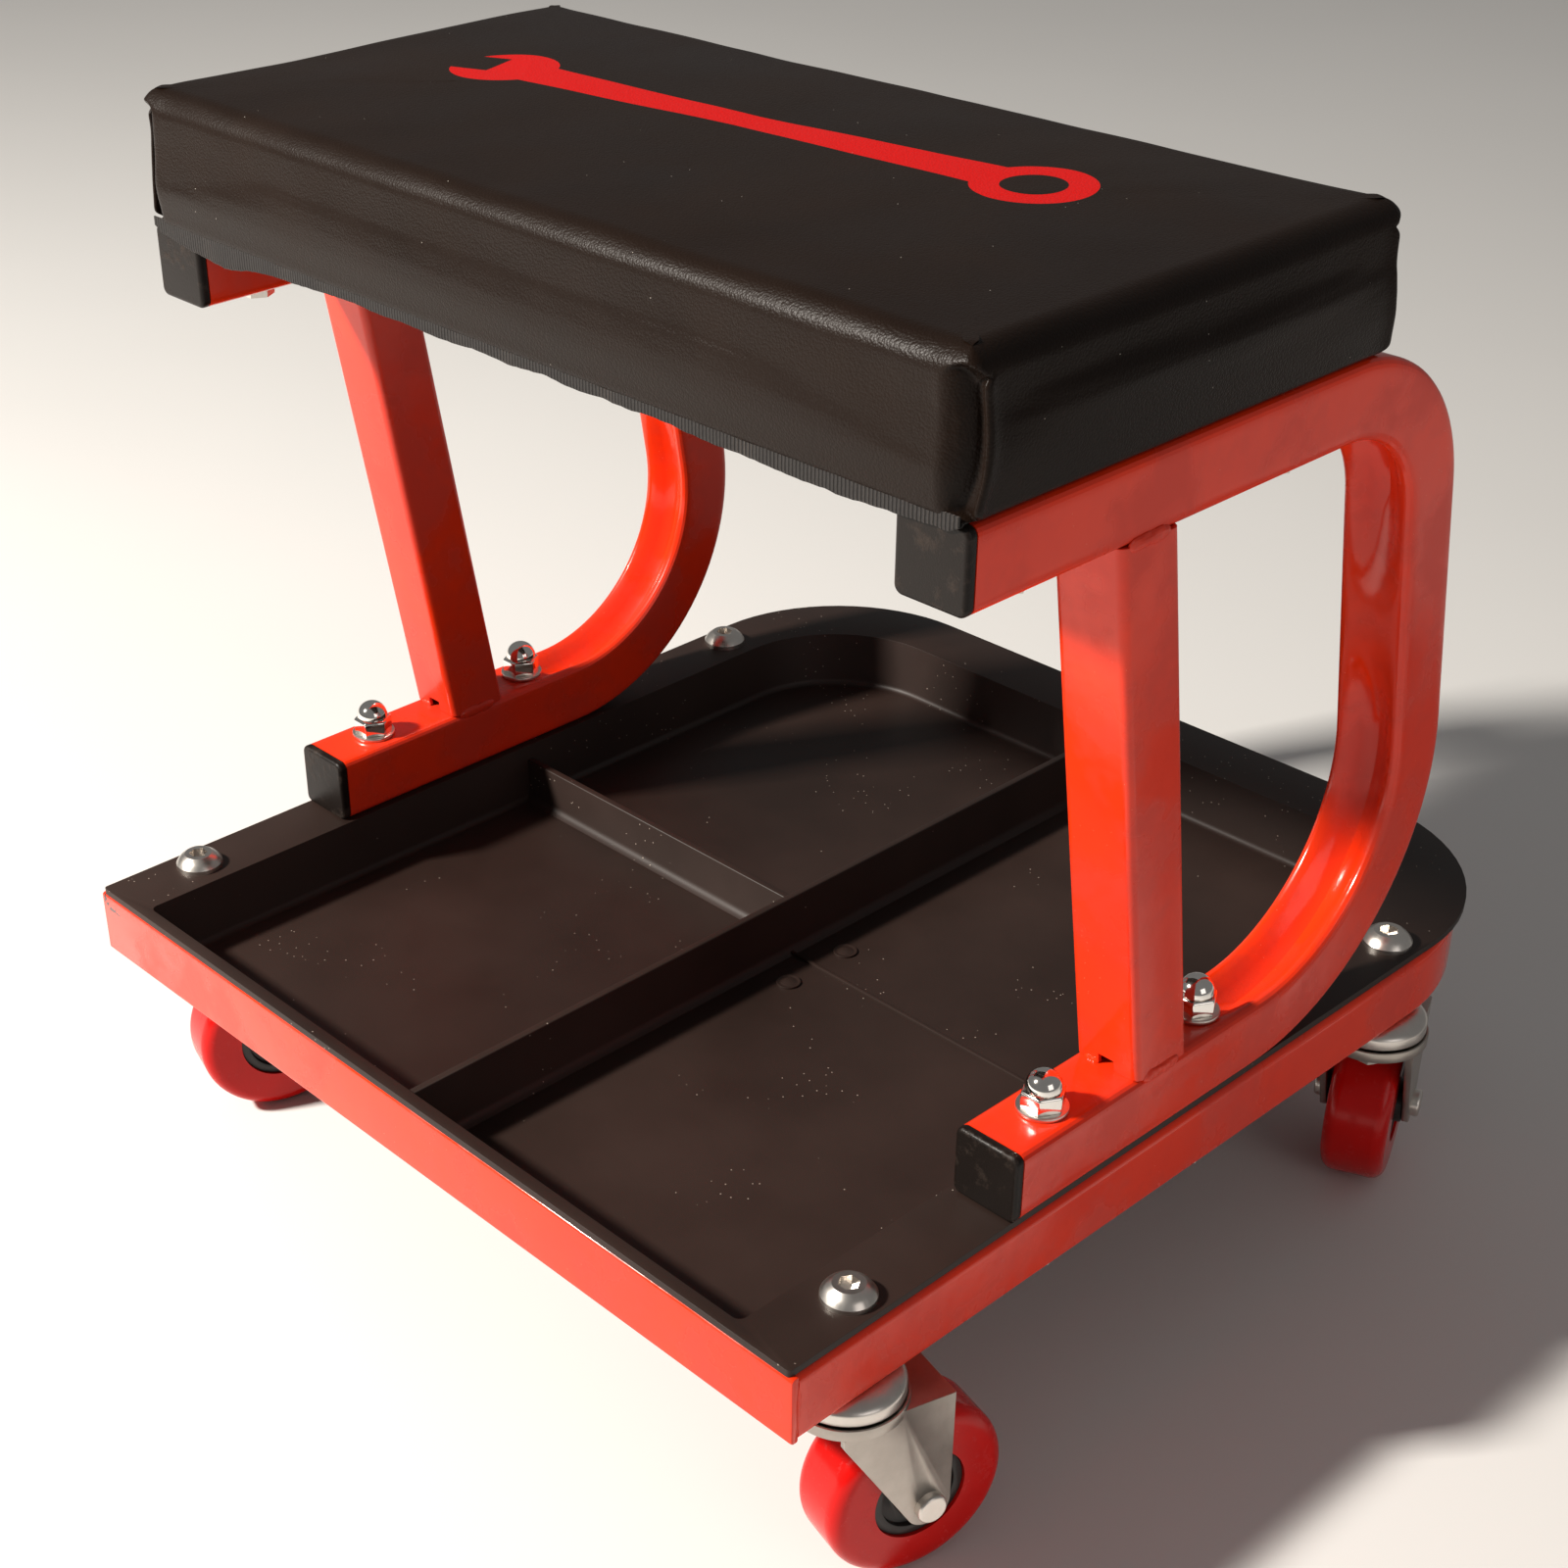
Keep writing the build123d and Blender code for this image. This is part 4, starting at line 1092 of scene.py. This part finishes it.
def cushion_spot(column, inset, height):
    """A point of the front right quarter of the cushion, before it swells."""
    kind, value, depth = column
    line = fold_line(height)
    line_run = tuck_round - lid_round + math.pi / 2 * lid_round + max(0, line - lid_round)
    reach = 1.0
    if kind == "front":
        closed = opened = Vector((value, -half_y, 0))
        way = Vector((0, -1, 0))
    elif kind == "end":
        closed = opened = Vector((half_x, value - half_y, 0))
        way = Vector((1, 0, 0))
    elif kind == "tuck":
        closed, way = lid_outline(value * line_run, lid_round)
        turn = value * math.acos(1 - line / tuck_round)
        bend = Vector((math.sin(turn), -math.cos(turn), 0))
        hub = Vector((half_x - tuck_round, tuck_round - half_y, 0))
        opened = hub + bend * (tuck_round - tuck * smooth(value * 1.1))
        reach = 2 * value - 1
    else:
        order = lap_columns.index((value, depth))
        closed, way = lid_outline(line_run + 0.00045 * (order + 1), lid_round)
        opened = Vector((half_x - depth, line + value - half_y, 0))
    arch = seat_height - 0.0046 - 0.0034 * reach**2
    open_share = smooth((arch - height) / 0.0018) * smooth((height + 0.0005) / 0.003)
    if kind in ("front", "end"):
        open_share = 0
    spot = closed.lerp(opened, open_share)
    centre = Vector((half_x - half_y, 0, 0))
    if kind == "front":
        centre.x = min(value, centre.x)
    bulge = 0.0007 * math.sin(math.pi * min(1, height / wall_top))
    spot += way * (bulge - min(inset, edge_round))
    if inset > edge_round:
        spot = spot.lerp(centre, (inset - edge_round) / (half_y - edge_round))
    return spot + Vector((0, 0, height))


columns = [("front", x, 0.0) for x in reversed(front_columns)]
columns += [("tuck", share, 0.0) for share in tuck_columns]
columns += [("lap", past, depth) for past, depth in lap_columns]
columns += [("end", past, 0.0) for past in end_columns]
spots = []
for inset, height in rows:
    for column in columns:
        spots.append(cushion_spot(column, inset, height))
wide = len(columns)
faces = []
for row in range(len(rows) - 1):
    for col in range(wide - 1):
        a = row * wide + col
        faces.append((a, a + 1, a + 1 + wide, a + wide))
mesh = bpy.data.meshes.new("seat_cushion")
mesh.from_pydata(spots, [], faces)
cushion = bpy.data.objects.new("seat_cushion", mesh)
bpy.context.collection.objects.link(cushion)
halves = cushion.modifiers.new("four_quarters", "MIRROR")
halves.use_axis = (True, True, False)
halves.merge_threshold = 1e-5
shape_of(cushion)
bpy.context.view_layer.objects.active = cushion
cushion.select_set(True)
bpy.ops.object.mode_set(mode="EDIT")
bpy.ops.mesh.select_all(action="SELECT")
bpy.ops.mesh.remove_doubles(threshold=5e-6)
bpy.ops.mesh.dissolve_degenerate(threshold=5e-6)
bpy.ops.mesh.select_all(action="SELECT")
bpy.ops.mesh.normals_make_consistent(inside=False)
bpy.ops.object.mode_set(mode="OBJECT")
for vertex in cushion.data.vertices:
    spot = vertex.co
    middle_x = smooth((half_x - abs(spot.x)) / 0.07)
    middle_y = smooth((half_y - abs(spot.y)) / 0.05)
    on_top = smooth((spot.z - seat_height + 0.004) / 0.003)
    place = Vector((seat_middle.x + spot.x, seat_middle.y + spot.y, seat_low.z + spot.z))
    free = smooth((spot.z - 0.002) / 0.030)
    move = swell(place) * free
    move.z = min(move.z, 0.001) * (1 - on_top)
    ripple = 0.0005 * noise.noise(place * 26) + 0.0002 * noise.noise(place * 70)
    outward = Vector((spot.x / half_x, spot.y / half_y, 0))
    place += move + outward * ripple * free
    place.z += crown_drop * middle_x * middle_y * on_top + ripple * on_top
    vertex.co = place
finer = cushion.modifiers.new("finer", "SUBSURF")
finer.levels = finer.render_levels = 1
shape_of(cushion, black_vinyl)
bpy.data.objects.remove(foam)
hand_in(cushion, "frame", "vinyl", "seat_cover", "seat_foam")

# --- Seat lining ----------------------------------------------------------------------------------
# A black ribbed cloth is stretched under the board and stapled. Its doubled edge hangs a few
# millimetres below the front of the cushion in an uneven line, lowest near the left.


def ribbed_cloth(start):
    ribs = start.along("X") * 4600
    cross = start.along("Y") * 4600
    fuzz = start.noise(900, 3)
    weave = (ribs + fuzz * 2.0).sine() * 0.5 + cross.sine() * 0.3
    lit = weave.ramp((0.1, 0.0), (0.75, 1.0))
    return {
        "Base Color": lit.mix((0.010, 0.008, 0.0075, 1), (0.085, 0.068, 0.058, 1)),
        "Roughness": 0.75 + 0.15 * fuzz,
        "Normal": (weave + fuzz * 0.5).bump(0.0004, 0.9),
    }


lining_low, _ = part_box("seat_lining")
cloth_half = half_x - 0.004
cloth_steps = 180
under_steps = 30
hem_top = lining_low.z + 0.0030
under = lining_low.z + 0.0005


def hem_drop(x):
    """How far below the seat's foot the doubled edge hangs."""
    left = math.exp(-(((x + 0.145) / 0.026) ** 2))
    right = math.exp(-(((x - 0.140) / 0.030) ** 2))
    swag = 0.0017 + 0.0042 * left + 0.0016 * right
    wander = 0.0011 * noise.noise(Vector((x * 60, 0.3, 0)))
    fray = 0.0004 * noise.noise(Vector((x * 240, 2, 0)))
    return swag + wander + fray


lining_spots = []
for i in range(cloth_steps + 1):
    x = -cloth_half + 2 * cloth_half * i / cloth_steps
    drop = hem_drop(x) * smooth((cloth_half - abs(x)) / 0.004)
    sway = 0.0003 * noise.noise(Vector((x * 90, 5, 0)))
    for way, front in ((1, seat_low.y), (-1, seat_high.y)):
        face = front + way * (0.0012 + sway)
        back_face = face + way * 0.0009
        hang = drop if way == 1 else drop * 0.4
        edge = [
            (face, hem_top),
            (face, hem_top - 0.0015),
            (face, lining_low.z),
            (face, lining_low.z - hang * 0.6),
            (face + way * 0.0001, lining_low.z - hang * 0.9),
            ((face + back_face) / 2, lining_low.z - hang),
            (back_face, lining_low.z - hang * 0.9),
            (back_face, lining_low.z - hang * 0.4),
            (back_face + way * 0.0003, lining_low.z - 0.0002),
            (back_face + way * 0.0012, under),
        ]
        if way == 1:
            profile = edge
        else:
            first_y, last_y = profile[-1][0], edge[-1][0]
            for j in range(1, under_steps):
                profile.append((first_y + (last_y - first_y) * j / under_steps, under))
            profile += reversed(edge)
    lining_spots += [(x, y, z) for y, z in profile]
across = len(profile)
mesh = bpy.data.meshes.new("seat_lining_cloth")
mesh.from_pydata(
    lining_spots,
    [],
    [
        (i * across + j, i * across + j + 1, (i + 1) * across + j + 1, (i + 1) * across + j)
        for i in range(cloth_steps)
        for j in range(across - 1)
    ],
)
lining = bpy.data.objects.new("seat_lining_cloth", mesh)
bpy.context.collection.objects.link(lining)
thread = lining.modifiers.new("thread", "SOLIDIFY")
thread.thickness = 0.0005
shape_of(lining, finish("ribbed_cloth", ribbed_cloth))
hand_in(lining, "frame", "lining", "seat_lining")
